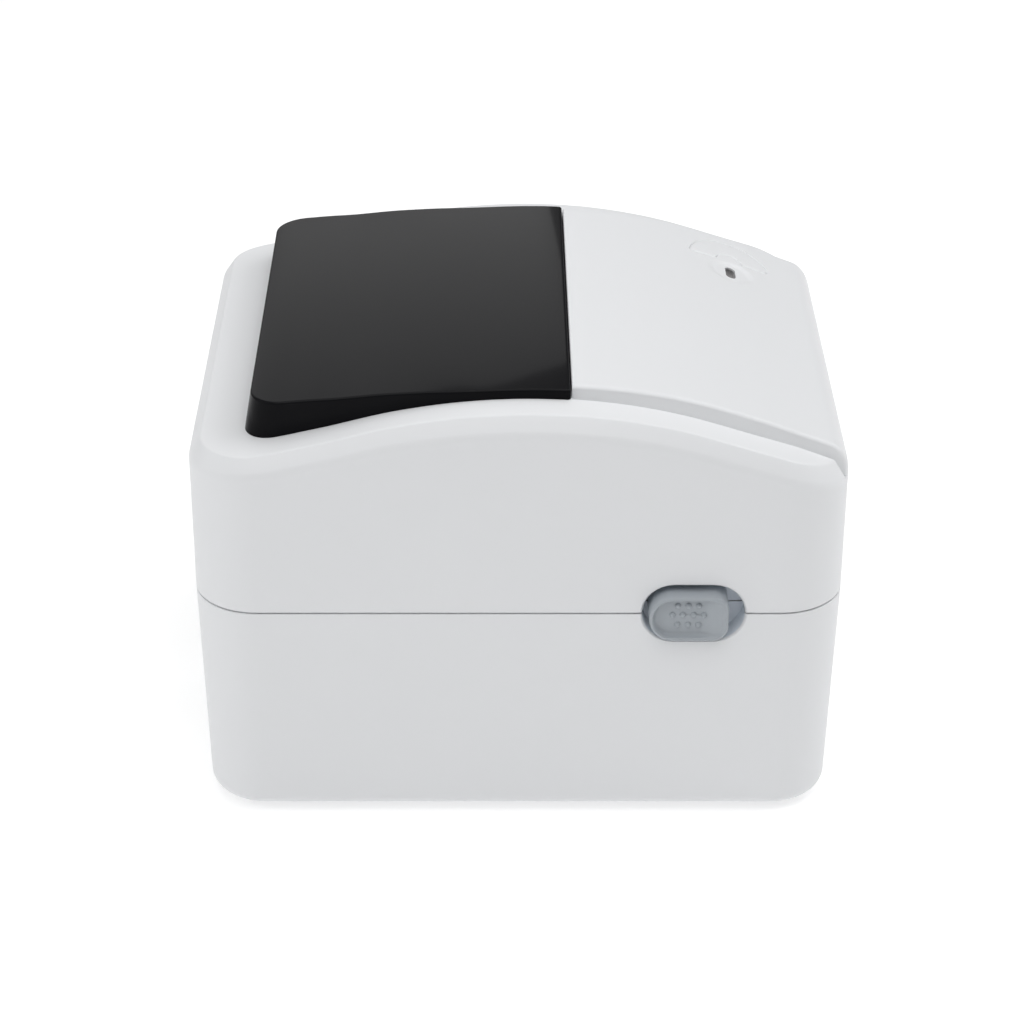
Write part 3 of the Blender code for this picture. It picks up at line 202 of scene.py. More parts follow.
class Finish:
    """One material. Its node method is the only place where nodes are made and linked."""

    def __init__(self, name, roughness=0.5, metallic=0.0, ior=1.46, coat=0.0, colour=(0.8, 0.8, 0.8)):
        self.material = bpy.data.materials.new(name)
        self.material.use_nodes = True
        self.tree = self.material.node_tree
        self.shader = self.tree.nodes["Principled BSDF"]
        self.set("Base Color", (*colour, 1))
        self.set("Roughness", roughness)
        self.set("Metallic", metallic)
        self.set("IOR", ior)
        self.set("Coat Weight", coat)
        self.places = self.node("ShaderNodeTexCoord", output="Object")

    def node(self, kind, settings=None, inputs=None, output=0):
        made = self.tree.nodes.new(kind)
        for key, value in (settings or {}).items():
            if key == "stops":
                for stop, (place, shade) in zip(made.color_ramp.elements, value):
                    stop.position = place
                    stop.color = (shade, shade, shade, 1)
            else:
                setattr(made, key, value)
        for key, value in (inputs or {}).items():
            self.link(value, made.inputs[key])
        return Signal(self, made.outputs[output])

    def link(self, value, socket):
        if isinstance(value, Signal):
            self.tree.links.new(value.out, socket)
        else:
            socket.default_value = value

    def set(self, socket, value):
        self.link(value, self.shader.inputs[socket])

    def noise(self, size, detail=2.0, stretch=(1, 1, 1)):
        """Soft noise from 0 to 1 whose blobs are about this size, in metres."""
        place = self.places
        if stretch != (1, 1, 1):
            place = self.node("ShaderNodeVectorMath", {"operation": "MULTIPLY"}, {0: place, 1: stretch})
        return self.node("ShaderNodeTexNoise", {}, {"Vector": place, "Scale": 1 / size, "Detail": detail})

    def blend(self, factor, one, two):
        """A colour between one and two."""
        colours = {0: factor, 6: (*one, 1), 7: (*two, 1)}
        return self.node("ShaderNodeMix", {"data_type": "RGBA"}, colours, output=2)

    def bump(self, height, depth):
        """Tilts the surface's light by a height from 0 to 1 that stands for this depth, in metres."""
        normal = self.node("ShaderNodeBump", {}, {"Height": height, "Distance": depth, "Strength": 1.0})
        self.set("Normal", normal)


print("shader maths ready")

# %% [markdown]
# ## The housing's plastic
# The housing is moulded ABS, almost white with a hint of blue. The mould is spark eroded, which leaves a fine
# matt grain about a third of a millimetre across. Grain could be an image, but noise in object space needs no
# unwrapping and stays the same size on every piece. A second, much larger noise gives the slow drift in gloss
# that real mouldings have.

# %% Housing plastic
def moulded(name, colour, grain_size=0.00035, grain_depth=0.000006, roughness=0.42, spread=0.08, drift=0.985):
    """A spark-eroded moulding: fine grain in the surface, and slow changes of gloss and shade."""
    finish = Finish(name, roughness)
    grain = finish.noise(grain_size, 3.0)
    slow = finish.noise(0.035, 2.0)
    darker = tuple(channel * drift for channel in colour)
    finish.set("Base Color", finish.blend(slow, colour, darker))
    finish.set("Roughness", roughness - spread / 2 + slow * spread * 0.5 + grain * spread * 0.5)
    finish.bump(grain, grain_depth)
    return finish.material


housing = moulded("housing_plastic", (0.775, 0.785, 0.80))
print("made", housing.name)

# %% [markdown]
# ## Smoked window, button plastic and the dark mouldings
# The window is black acrylic with a slight orange peel that bends reflections. Only its top is polished, and
# its sides keep the dull skin of the mould, so the coat's weight follows how far the surface faces up. The
# latch buttons, roll guides and hubs share one blue grey plastic. The dots on the latch buttons are glossier,
# and their paler colour is a painted highlight. The pockets round the latch buttons take the housing's grey
# with a cool tint painted in for the bluish shade inside them. The inside mouldings are a darker plastic of
# the same kind.

# %% Window, button and inner plastics
def smoked_acrylic():
    finish = Finish("smoked_acrylic", 0.2, ior=1.12)
    peel = finish.noise(0.004, 1.0)
    haze = finish.noise(0.02, 3.0)
    up = finish.node("ShaderNodeSeparateXYZ", {}, {0: finish.node("ShaderNodeTexCoord", output="Normal")},
                     output=2)
    finish.set("Base Color", finish.blend(haze, (0.005, 0.005, 0.006), (0.008, 0.008, 0.009)))
    finish.set("Roughness", 0.16 + haze * 0.08)
    finish.set("Coat Weight", up ** 6.0 * 0.24)
    finish.set("Coat Roughness", 0.06)
    finish.bump(peel, 0.000004)
    return finish.material


window_finish = smoked_acrylic()
button_finish = moulded("blue_grey_plastic", (0.36, 0.39, 0.42), grain_depth=0.000004, roughness=0.38)
inner_finish = moulded("inner_plastic", (0.035, 0.036, 0.04), 0.0006, 0.00001, 0.5, 0.12, 0.8)
# painted highlight: the dots' base colour is paler than the pad's to stand in for the highlights on the domes; the low
# roughness is their real gloss
dot_gloss_and_painted_highlight = moulded("polished_dots_painted_highlight", (0.52, 0.55, 0.58), grain_depth=0.000002, roughness=0.2)
# painted shade: the pocket lining is the housing plastic with a cool blue tint painted in for the bluish shade inside
# the pocket
pocket_shade_tint = moulded("pocket_plastic_painted_shade_tint", (0.74, 0.79, 0.85), roughness=0.5)
gear_finish = moulded("natural_acetal", (0.72, 0.70, 0.64), 0.0008, 0.000003, 0.34, 0.06, 0.96)
print("made", [m.name for m in (window_finish, button_finish, inner_finish, gear_finish)])

# %% [markdown]
# ## Rubber, metals and the rest
# Rubber scatters light and is never quite clean, so dust lightens it in patches. Rolled steel and aluminium
# carry fine lines in one direction: the noise is squeezed across those lines.

# %% Rubber and metals
def rubber():
    finish = Finish("black_rubber", 0.8)
    grain = finish.noise(0.0005, 4.0)
    dust = finish.noise(0.006, 3.0) ** 2.0
    finish.set("Base Color", finish.blend(dust, (0.016, 0.016, 0.017), (0.06, 0.058, 0.055)))
    finish.set("Roughness", 0.7 + grain * 0.2)
    finish.bump(grain, 0.00002)
    return finish.material


def brushed(name, colour, stretch, roughness):
    finish = Finish(name, roughness, metallic=1.0)
    lines = finish.noise(0.0012, 4.0, stretch)
    worn = finish.noise(0.012, 2.0)
    darker = tuple(channel * 0.82 for channel in colour)
    finish.set("Base Color", finish.blend(worn, colour, darker))
    finish.set("Roughness", roughness + lines * 0.16 - 0.08)
    finish.bump(lines, 0.000005)
    return finish.material


rubber_finish = rubber()
steel_finish = brushed("bright_steel", (0.62, 0.62, 0.63), (0.08, 1, 6), 0.28)
aluminium_finish = brushed("drawn_aluminium", (0.78, 0.79, 0.80), (0.06, 5, 1), 0.34)
print("made", [m.name for m in (rubber_finish, steel_finish, aluminium_finish)])

# %% [markdown]
# ## Ceramic, circuit board and lens
# The print head's heating line sits on a glazed ceramic strip, which is glossy with faint specks. The circuit
# board is green lacquer over copper, and a brick pattern makes its tracks. The status lens is a smoked insert
# with fine ribs, and a painted shade darkens the half of it that turns from the light.

# %% Ceramic, circuit board and lens
def ceramic():
    finish = Finish("glazed_ceramic", 0.18, coat=0.6)
    speckle = finish.noise(0.0007, 5.0)
    finish.set("Base Color", finish.blend(speckle, (0.78, 0.74, 0.66), (0.68, 0.65, 0.6)))
    finish.set("Roughness", 0.12 + speckle * 0.12)
    finish.bump(speckle, 0.000002)
    return finish.material


def circuit_board():
    finish = Finish("circuit_board", 0.35)
    bricks = {"Vector": finish.places, "Scale": 160.0, "Mortar Size": 0.06, "Brick Width": 1.7}
    tracks = finish.node("ShaderNodeTexBrick", {}, bricks, output="Fac")
    blotch = finish.noise(0.003, 3.0)
    finish.set("Base Color", finish.blend(tracks, (0.008, 0.10, 0.035), (0.02, 0.19, 0.06)))
    finish.set("Roughness", 0.28 + blotch * 0.2)
    finish.bump(tracks, 0.00003)
    return finish.material


def status_lens():
    finish = Finish("status_lens", 0.16, coat=0.4)
    slope = finish.node("ShaderNodeSeparateXYZ", {}, {0: finish.places}, output=0)
    ribs = finish.node("ShaderNodeTexWave", {}, {"Vector": finish.places, "Scale": 260.0, "Distortion": 1.0})
    # painted shade: the lens colour darkens towards its far half, away from the light, and pales on the near half
    painted_shade_side = (slope - LENS_CENTRE.x) * -160.0 + 0.5
    finish.set("Base Color", finish.blend(painted_shade_side, (0.045, 0.043, 0.045), (0.24, 0.235, 0.235)))
    finish.set("Roughness", 0.14 + ribs * 0.1)
    finish.bump(ribs, 0.00001)
    return finish.material


LENS_CENTRE = sum(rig.box("status_lens"), Vector()) / 2
ceramic_finish, board_finish, lens_finish = ceramic(), circuit_board(), status_lens()
print("made", [m.name for m in (ceramic_finish, board_finish, lens_finish)])

# %% [markdown]
# ## Finishes for the parts that stay
# The gears, springs, screws and boards inside already have the right shape. Each keeps its mesh and takes the
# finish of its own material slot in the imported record.

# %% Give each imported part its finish
BY_SLOT = {
    "housing": housing,
    "window": window_finish,
    "dark_plastic": inner_finish,
    "latch_plastic": button_finish,
    "rubber": rubber_finish,
    "steel": steel_finish,
    "acetal": gear_finish,
    "aluminium": aluminium_finish,
    "ceramic": ceramic_finish,
    "board": board_finish,
    "lens": lens_finish,
}
slot_of = {row["node"]: row["material_slot"] for row in frame["record"]["subparts"]}
for name, part in nodes.items():
    part.data.materials.clear()
    part.data.materials.append(BY_SLOT[slot_of[name]])
    part.data.shade_smooth()
    part.data.set_sharp_from_angle(angle=radians(35))
print("finished", len(nodes), "parts;", len(slot_of), "have a slot")

# %% [markdown]
# ## Skins from rings
# A moulded housing is a stack of rounded rectangles. Boxes with bevels could give the same outline, but the
# corners would not keep their radius as the walls lean in. Here each ring is worked out at its own inset, and
# one skin joins them. Rings are close together where the surface turns and far apart where it is flat.

# %% Rings and skins
def loop(inset, half_x=None, front=None, back=None, radii=(CORNER_R, CORNER_R), steps=(14, 20, 60)):
    """A rounded rectangle as (x, y) points, from the front's middle round by the right."""
    across, turn, along_side = steps
    half = (HALF_W if half_x is None else half_x) - inset
    low = (FRONT if front is None else front) + inset
    high = (BACK if back is None else back) - inset
    front_r, back_r = (max(radius - inset, 0.0004) for radius in radii)
    angles = [pi / 2 * i / turn for i in range(turn + 1)]
    right = [((half - front_r) * i / across, low) for i in range(across)]
    right += [(half - front_r + front_r * sin(a), low + front_r - front_r * cos(a)) for a in angles]
    run = high - back_r - low - front_r
    right += [(half, low + front_r + run * i / along_side) for i in range(1, along_side)]
    right += [(half - back_r + back_r * cos(a), high - back_r + back_r * sin(a)) for a in angles]
    right += [((half - back_r) * (1 - i / across), high) for i in range(1, across + 1)]
    return right + [(-x, y) for x, y in reversed(right[1:-1])]


def mesh_object(name, bm, finish):
    bmesh.ops.recalc_face_normals(bm, faces=bm.faces)
    mesh = bpy.data.meshes.new(name)
    bm.to_mesh(mesh)
    bm.free()
    mesh.materials.append(finish)
    made = bpy.data.objects.new(name, mesh)
    bpy.context.scene.collection.objects.link(made)
    return made


def skin(name, rings, finish, cyclic=False, strips=False):
    """A closed mesh through rings of points. Strips close the ends with faces that run from side to side."""
    bm = bmesh.new()
    loops = [[bm.verts.new(point) for point in ring] for ring in rings]
    count = len(rings[0])
    for one, two in zip(loops, loops[1:] + (loops[:1] if cyclic else [])):
        for i in range(count):
            j = (i + 1) % count
            bm.faces.new((one[i], one[j], two[j], two[i]))
    for end in () if cyclic else (loops[0], loops[-1]):
        if strips:
            for i in range(count // 2):
                corners = (end[i], end[i + 1], end[(-i - 1) % count], end[-i % count])
                bm.faces.new([v for k, v in enumerate(corners) if v not in corners[:k]])
        else:
            bm.faces.new(end)
    return mesh_object(name, bm, finish)


def smooth(made, degrees=30):
    made.data.shade_smooth()
    made.data.set_sharp_from_angle(angle=radians(degrees))
    return made


def carve(target, operation, tools):
    """Adds or removes the tools for good, then deletes them."""
    for tool in tools:
        step = target.modifiers.new(tool.name, "BOOLEAN")
        step.operation = operation
        step.solver = "EXACT"
        step.material_mode = "TRANSFER"
        step.object = tool
    graph = bpy.context.evaluated_depsgraph_get()
    result = bpy.data.meshes.new_from_object(target.evaluated_get(graph))
    target.modifiers.clear()
    target.data = result
    for tool in tools:
        bpy.data.objects.remove(tool)
    return target


def join(target, others):
    """One object from several meshes, for raised dots and the like."""
    bm = bmesh.new()
    for made in (target, *others):
        bm.from_mesh(made.data)
    bm.to_mesh(target.data)
    bm.free()
    for made in others:
        bpy.data.objects.remove(made)
    return target


def soften(corners, steps=6):
    """A line of (a, b, radius) corners, each rounded off to its radius."""
    line = []
    for i, (a, b, radius) in enumerate(corners):
        if not radius or i in (0, len(corners) - 1):
            line.append((a, b))
            continue
        here = Vector((a, b))
        back_way = (Vector(corners[i - 1][:2]) - here).normalized()
        on_way = (Vector(corners[i + 1][:2]) - here).normalized()
        half = back_way.angle(on_way) / 2
        reach = radius / tan(half)
        centre = here + (back_way + on_way).normalized() * radius / sin(half)
        first = here + back_way * reach - centre
        last = here + on_way * reach - centre
        sweep = first.angle_signed(last)
        for k in range(steps + 1):
            turned = Matrix.Rotation(-sweep * k / steps, 2) @ first
            line.append(tuple(centre + turned))
    return line


print("ring helpers ready; one ring has", len(loop(0)), "points")

# %% [markdown]
# ## The roof's curve
# Seen from the side, the lid rises from the back, is highest over the roll and falls more and more steeply to
# the front. A few heights along the depth and a smooth curve through them give that line, and the rim, the
# window and the centre strip all add their own height to it.

# %% Heights along the depth
ROOF = ((-1.0, 0.0475), (-0.86, 0.0528), (-0.72, 0.0576), (-0.48, 0.0655), (-0.26, 0.0699), (-0.04, 0.0714),
        (0.17, 0.0703), (0.38, 0.0668), (0.6, 0.0608), (0.82, 0.0559), (1.0, 0.0555))
window_low, window_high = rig.box("lid_window")
WINDOW_HALF, WINDOW_FRONT, WINDOW_BACK = window_high.x, window_low.y, window_high.y
WINDOW_RISE = ((0.0, 0.0038), (0.28, 0.0038), (0.48, 0.0058), (0.66, 0.0086), (0.82, 0.0115), (1.0, 0.0140))
STRIP_RISE = ((0.0002, -0.0026), (0.0008, 0.0002), (0.0022, 0.0025), (0.0053, 0.0039), (0.0100, 0.0043),
              (0.0168, 0.0045), (0.0294, 0.0052), (0.0439, 0.0053), (0.0583, 0.0050), (0.0726, 0.0046),
              (0.0890, 0.0042))


def along(points, y):
    """Height at y on a smooth curve through (y, z) points, level beyond its ends."""
    if y <= points[0][0]:
        return points[0][1]
    for i in range(len(points) - 1):
        (y0, z0), (y1, z1) = points[i], points[i + 1]
        if y <= y1:
            before, after = points[max(i - 1, 0)], points[min(i + 2, len(points) - 1)]
            step = y1 - y0
            slope0 = (z1 - before[1]) / (y1 - before[0]) * step
            slope1 = (after[1] - z0) / (after[0] - y0) * step
            t = (y - y0) / step
            rise = (3 * t * t - 2 * t ** 3) * (z1 - z0)
            return z0 + rise + (t ** 3 - 2 * t * t + t) * slope0 + (t ** 3 - t * t) * slope1
    return points[-1][1]


def roof(y):
    return PARTING_Z + along(ROOF, y / HALF_D)


def window_top(y):
    return roof(y) + along(WINDOW_RISE, (y - WINDOW_FRONT) / (WINDOW_BACK - WINDOW_FRONT))


def strip_top(y):
    return roof(y) + along(STRIP_RISE, y - FRONT)


print("roof peak", round(max(roof(FRONT + i * 0.002) for i in range(108)), 4))

# %% [markdown]
# ## Side pockets, label slot and the openings at the back
# Both halves are cut by the same tools: the pocket that holds the latch button is half in the lid and half in
# the base, and the label slot is split by the parting line. Each cutter flares at its mouth, so that the cut
# leaves a small rounded lip, as a mould does.

# %% Cutters that both halves share
latch_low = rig.box("latch_button_left")[0]
LATCH_HALF_H, LATCH_HALF_L = 0.0083, 0.013
LATCH_Y = latch_low.y + LATCH_HALF_L
LATCH_FACE = -latch_low.x
POCKET_Y, POCKET_HALF_L, POCKET_HALF_H, POCKET_FLOOR = LATCH_Y - 0.0017, 0.0169, 0.0105, HALF_W - 0.0085


def stadium(half_length, half_height, turn=16):
    """A slot outline round (0, 0), long in its first axis."""
    flat = half_length - half_height
    angles = [pi * (i / turn - 0.5) for i in range(turn + 1)]
    right = [(flat + half_height * cos(a), half_height * sin(a)) for a in angles]
    return right + [(-a, -b) for a, b in right]


def pocket_cutters(side):
    """The pocket itself, lined with the housing colour and a painted cool shade tint, and the rounded lip at its
    mouth.
    """
    deep = [(POCKET_FLOOR, 0.0), (HALF_W + 0.003, 0.0)]
    lip = [(HALF_W - 0.0012, -0.0001), (HALF_W - 0.0007, 0.0001), (HALF_W - 0.0003, 0.0004),
           (HALF_W - 0.0001, 0.0007),
           (HALF_W + 0.003, 0.0007)]
    made = []
    for name, rows, finish in (("pocket", deep, pocket_shade_tint), ("pocket_lip", lip, housing)):
        rings = [[(side * depth, POCKET_Y + a, PARTING_Z + b) for a,
                  b in stadium(POCKET_HALF_L + grow, POCKET_HALF_H + grow)]
                 for depth, grow in rows]
        made.append(skin(name, rings, finish))
    return made


def block(name, low, high, finish):
    rings = [[(x, y, z) for x,
              y in ((low[0], low[1]), (high[0], low[1]), (high[0], high[1]), (low[0], high[1]))]
             for z in (low[2], high[2])]
    return skin(name, rings, finish)


def cylinder(name, start, end, radius, finish, sides=32):
    """A round bar between two points."""
    start, end = Vector(start), Vector(end)
    turn = (end - start).to_track_quat("Z", "Y")
    circle = [turn @ Vector((radius * cos(a), radius * sin(a), 0))
              for a in (2 * pi * i / sides for i in range(sides))]
    return skin(name, [[tuple(centre + out) for out in circle] for centre in (start, end)], finish)


print("pocket centre", round(POCKET_Y, 4), "latch face", round(LATCH_FACE, 4))

# %% [markdown]
# ## The base
# The lower half is a deep tray. Its walls lean in by 2 mm towards the bottom so that it comes out of its
# mould, and a 5 mm radius joins them to the floor. The skin goes down the outside, along the floor, up the
# inside and over the lip, so that it has a real thickness when the lid is open.

# %% Base skin
BASE_DRAFT = 0.002
profile = soften([(0.030, BODY_BOTTOM, 0), (BASE_DRAFT, BODY_BOTTOM, 0.0055), (0.0, BASE_TOP, 0.00035),
                  (WALL, BASE_TOP, 0.0003), (WALL + BASE_DRAFT, BODY_BOTTOM + WALL, 0.003),
                  (0.03, BODY_BOTTOM + WALL, 0)], 8)


def filled(line, longest=0.008):
    """Adds points so that no step of a line is longer than this."""
    full = [line[0]]
    for (a0, b0), (a1, b1) in zip(line, line[1:]):
        parts = max(1, int(hypot(a1 - a0, b1 - b0) / longest + 0.999))
        full += [(a0 + (a1 - a0) * i / parts, b0 + (b1 - b0) * i / parts) for i in range(1, parts + 1)]
    return full


base = skin("base_housing", [[(x, y, z) for x, y in loop(d)] for d, z in filled(profile)], housing,
            strips=True)
print("base skin:", len(base.data.polygons), "faces")

# %% Base openings
HINGE_Y, HINGE_Z, HINGE_X = BACK - 0.0025, PARTING_Z - 0.0085, HALF_W - 0.044
HINGE_R, TAB_HALF, TAB_ROOM = 0.0025, 0.008, 0.0004
PORTS = [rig.box(name) for name in ("usb_port", "dc_jack", "switch_body")]
EXIT_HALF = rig.box("tear_bar")[1].x + 0.003
EXIT_LOW, EXIT_HIGH = PARTING_Z - 0.0046, PARTING_Z + 0.0045

added, removed = [], []
for side in (LEFT, RIGHT):
    near, far = sorted((side * (POCKET_FLOOR - WALL), side * (HALF_W - 0.001)))
    front, back = POCKET_Y - POCKET_HALF_L - WALL, POCKET_Y + POCKET_HALF_L + WALL
    added.append(block("pocket_back", (near, front, PARTING_Z - POCKET_HALF_H - WALL), (far, back, BASE_TOP),
                       housing))
    removed += pocket_cutters(side)
    middle = side * HINGE_X
    room = TAB_HALF + TAB_ROOM
    added.append(block("hinge_boss", (middle - room - 0.005, HINGE_Y - 0.0055, HINGE_Z - 0.006),
                       (middle + room + 0.005, BACK - 0.001, BASE_TOP), housing))
    removed.append(block("hinge_notch", (middle - room, HINGE_Y - 0.01, HINGE_Z - HINGE_R - TAB_ROOM),
                         (middle + room, BACK + 0.01, BASE_TOP + 0.01), housing))
for low, high in PORTS:
    gap = 0.0003
    removed.append(block("port_hole", (low.x - gap, high.y - 0.006, low.z - gap),
                         (high.x + gap, BACK + 0.01, high.z + gap), housing))
removed.append(block("label_slot", (-EXIT_HALF, FRONT - 0.01, EXIT_LOW),
                     (EXIT_HALF, FRONT + 0.006, BASE_TOP + 0.01), housing))
carve(base, "UNION", added)
carve(base, "DIFFERENCE", removed)
smooth(base)
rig.ride(base, "base")
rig.replaces(base, "base_shell")
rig.slot(base, "housing")
print("base carved:", len(base.data.polygons), "faces")

# %% [markdown]
# ## The lid's rim
# The lid's wall goes straight up, turns in over a soft shoulder, climbs a 4 mm wide chamfer and ends in a
# crisp crest. Inside the crest lies a flat flange that carries the window and frames the centre strip. This
# ring of plastic is one skin whose rings follow the roof's curve: near the parting line they are flat, and at
# the top they take the full curve.

# %% Rim skin
RIM_INSET, RIM_DROP = 0.004, 0.0057
FLANGE_RISE, FLANGE_IN = 0.0005, 0.020
outer = soften([(0.0, -0.030, 0), (0.0, -RIM_DROP, 0.0060), (RIM_INSET, 0.0, 0.0011), (0.014, FLANGE_RISE, 0),
                (FLANGE_IN, FLANGE_RISE, 0.0003), (FLANGE_IN, -0.0022, 0), (0.0085, -0.0022, 0.002),
                (WALL, -0.0100, 0.002), (WALL, -0.030, 0)], 8)


def level(y, share, rise):
    """Height of a point that follows the roof by this share."""
    return LID_BOTTOM + share * (roof(y) - LID_BOTTOM) + rise


WALL_ROWS = (0.0, 0.15, 0.3, 0.45, 0.6, 0.75)
rim_rows = [(0.0003, 0.0, 0.0)] + [(0.0, share, 0.0003 if share == 0 else 0.0) for share in WALL_ROWS]
rim_rows += [(d, 1.0, rise) for d, rise in outer[1:-1]]
rim_rows += [(WALL, share, 0.0) for share in reversed(WALL_ROWS)]
rim = skin("lid_housing",
           [[(x, y, level(y, share, rise)) for x, y in loop(d)] for d, share, rise in rim_rows],
           housing, cyclic=True)
print("rim skin:", len(rim.data.polygons), "faces")

# %% [markdown]
# ## The centre strip
# In front of the window, a raised strip 150 mm wide runs forward and rolls over the lid's front edge. It is
# one moulding with the rim, but its sides are steps and its front takes away the rim's chamfer, so it gets
# its own skin: a cross-section carried along the strip's curve. Its sides lean in a little and end inside the
# rim, so the two skins cross without a gap. Near the corners the front of each row steps back to follow the
# lid's round outline. A shallow dish for the status light is pressed into the same surface, on the far side
# only.

# %% Strip skin
STRIP_SIDE, STRIP_EDGE, STRIP_LEAN = WINDOW_HALF - 0.0002, 0.0016, 0.0026
STRIP_END, END_EDGE = WINDOW_FRONT - 0.0004, 0.0006
STRIP_ROWS, CORNER_FADE = 84, 0.012
FOOT_FROM, FOOT_IN, FOOT_FOLLOW = 0.010, 0.0045, 0.55
ROLL = [(0.0, 0.0354), (0.0, 0.0404), (0.00015, 0.0449), (0.00075, 0.0479), (0.0022, 0.0507),
        (0.0053, 0.0535)]
ROLL = [(d, PARTING_Z + z) for d, z in ROLL] + [(d, strip_top(FRONT + d)) for d in (0.0100, 0.0168)]
FEED_X, FEED_Y, FEED_R, NOTCH_R = 0.0515, FRONT + 0.03115, 0.015, 0.0050
DISH_X, DISH_R, DISH_DEPTH = FEED_X - 0.009, 0.008, 0.0006


def recess(x):
    """How far the lid's front outline has gone back at this x, round its corner."""
    past = abs(x) - (HALF_W - CORNER_R)
    return CORNER_R - sqrt(CORNER_R ** 2 - past ** 2) if past > 0 else 0.0


def strip_path():
    """The strip's top line as (distance from the front, height, drop) rows."""
    rows = []
    for i in range(len(ROLL) - 2):
        for k in range(6):
            t = k / 6
            before, here, on, after = ROLL[max(i - 1, 0)], ROLL[i], ROLL[i + 1], ROLL[i + 2]
            rows.append([0.5 * (2 * b + (c - a) * t + (2 * a - 5 * b + 4 * c - e) * t ** 2
                                + (3 * b - a - 3 * c + e) * t ** 3)
                         for a, b, c, e in zip(before, here, on, after)])
    start, end = ROLL[-2][0], STRIP_END - FRONT
    places = [start + (end - END_EDGE - start) * i / STRIP_ROWS for i in range(STRIP_ROWS + 1)]
    edge = [(end - END_EDGE + END_EDGE * sin(a), END_EDGE * (1 - cos(a)))
            for a in (pi / 2 * i / 5 for i in range(1, 6))]
    rows += [(d, strip_top(FRONT + d)) for d in places]
    return [(d, z, 0.0) for d, z in rows] + [(d, strip_top(FRONT + d), drop) for d, drop in edge]


def dish(x, y):
    reach = hypot(x - DISH_X, y - FEED_Y) / DISH_R
    edge = min(max((1 - reach) / 0.22, 0.0), 1.0)
    return DISH_DEPTH * edge * edge * (3 - 2 * edge)


def strip_section():
    """Half of a cross-section's top and rounded edge, from the middle out: (x, depth below the top line)."""
    flat = STRIP_SIDE - STRIP_LEAN - STRIP_EDGE
    edge = [(flat + STRIP_EDGE * sin(a), STRIP_EDGE * (1 - cos(a)))
            for a in (pi / 2 * i / 7 for i in range(1, 8))]
    return [(flat * i / 96, 0.0) for i in range(97)] + edge


def strip_rings():
    path = strip_path()
    rings = []
    for i, (d, z, drop) in enumerate(path):
        here, ahead = path[max(i - 1, 0)], path[min(i + 1, len(path) - 1)]
        slope = Vector((ahead[0] - here[0], ahead[1] - here[1])).normalized()
        inward = Vector((slope.y, -slope.x))
        fade = max(0.0, 1 - d / CORNER_FADE)
        foot_d = d if d > FOOT_FROM else FOOT_IN + FOOT_FOLLOW * d
        foot_z = min(z - 0.006, roof(FRONT + foot_d) - 0.0012)
        halves = []
        for side in (1, -1):
            half = []
            for x, depth in strip_section():
                y = FRONT + 0.00002 + d + fade * recess(x)
                sink = depth + drop + (dish(side * x, y) if depth == 0 else 0.0)
                half.append((side * x, y + inward.x * sink, z + inward.y * sink))
            for x in (STRIP_SIDE, STRIP_SIDE - 0.003):
                half.append((side * x, FRONT + foot_d + fade * recess(x), foot_z))
            halves.append(half)
        rings.append(halves[0] + halves[1][:0:-1])
    return rings


print("strip path:", len(strip_path()), "rows")

# %% [markdown]
# ## The feed button's outline
# The feed button is a half-moon on the far side of the dish, with a round bite out of its straight edge. The
# same outline, grown by a gap, cuts its hole in the strip, and shrunk a little it makes the button's bevelled
# edge. Both follow the strip's curve, so the bevel has the same width all round.

# %% Half-moon outline and its frame
FEED_SLOPE = atan2(strip_top(FEED_Y + 0.01) - strip_top(FEED_Y - 0.01), 0.02)
FEED_AT = Matrix.Translation((FEED_X, FEED_Y, strip_top(FEED_Y))) @ Matrix.Rotation(FEED_SLOPE, 4, "X")
FEED_GAP, FEED_BEVEL = 0.00008, 0.0004
TIP_R = 0.0009


def moon(grow):
    """The half-moon grown or shrunk, in its own plane: up its round side and down its straight one."""
    radius, bite = FEED_R + grow, NOTCH_R - grow
    tip = radius - 0.00025
    across_bite = [bite * sin(pi * (i / 24 - 0.5)) for i in range(25)]
    beyond = [bite + (tip - bite) * sin(pi / 2 * i / 16) for i in range(1, 17)]
    rows = [-v for v in reversed(beyond)] + across_bite + beyond
    right = [(sqrt(radius ** 2 - v * v), v) for v in rows]
    left = []
    for v in rows:
        turned = max(abs(v) - tip + TIP_R, 0.0) / TIP_R
        left.append((sqrt(max(bite ** 2 - v * v, 0.0)) if abs(v) < bite else 0.0013 * turned ** 2 - grow, v))
    return [(0.0019, -radius + 0.0001), *right, (0.0019, radius - 0.0001), *reversed(left)]


def on_strip(outlines):
    """Rings laid on the strip's curved top, from (outline, lift above it) pairs."""
    rings = []
    for outline, lift in outlines:
        ring = []
        for u, v in outline:
            flat = FEED_AT @ Vector((u, v, 0))
            curve = (strip_top(flat.y) - flat.z) * cos(FEED_SLOPE)
            ring.append(tuple(FEED_AT @ Vector((u, v, curve + lift))))
        rings.append(ring)
    return rings


def lens_outline(grow):
    return loop(-grow, 0.0042, -0.0018, 0.0018, (0.0017, 0.0017), (3, 8, 3))


def lens_shift(outline):
    return [(u + DISH_X - FEED_X, v) for u, v in outline]


print("the button's plane leans", round(FEED_SLOPE * 180 / pi, 1), "degrees")

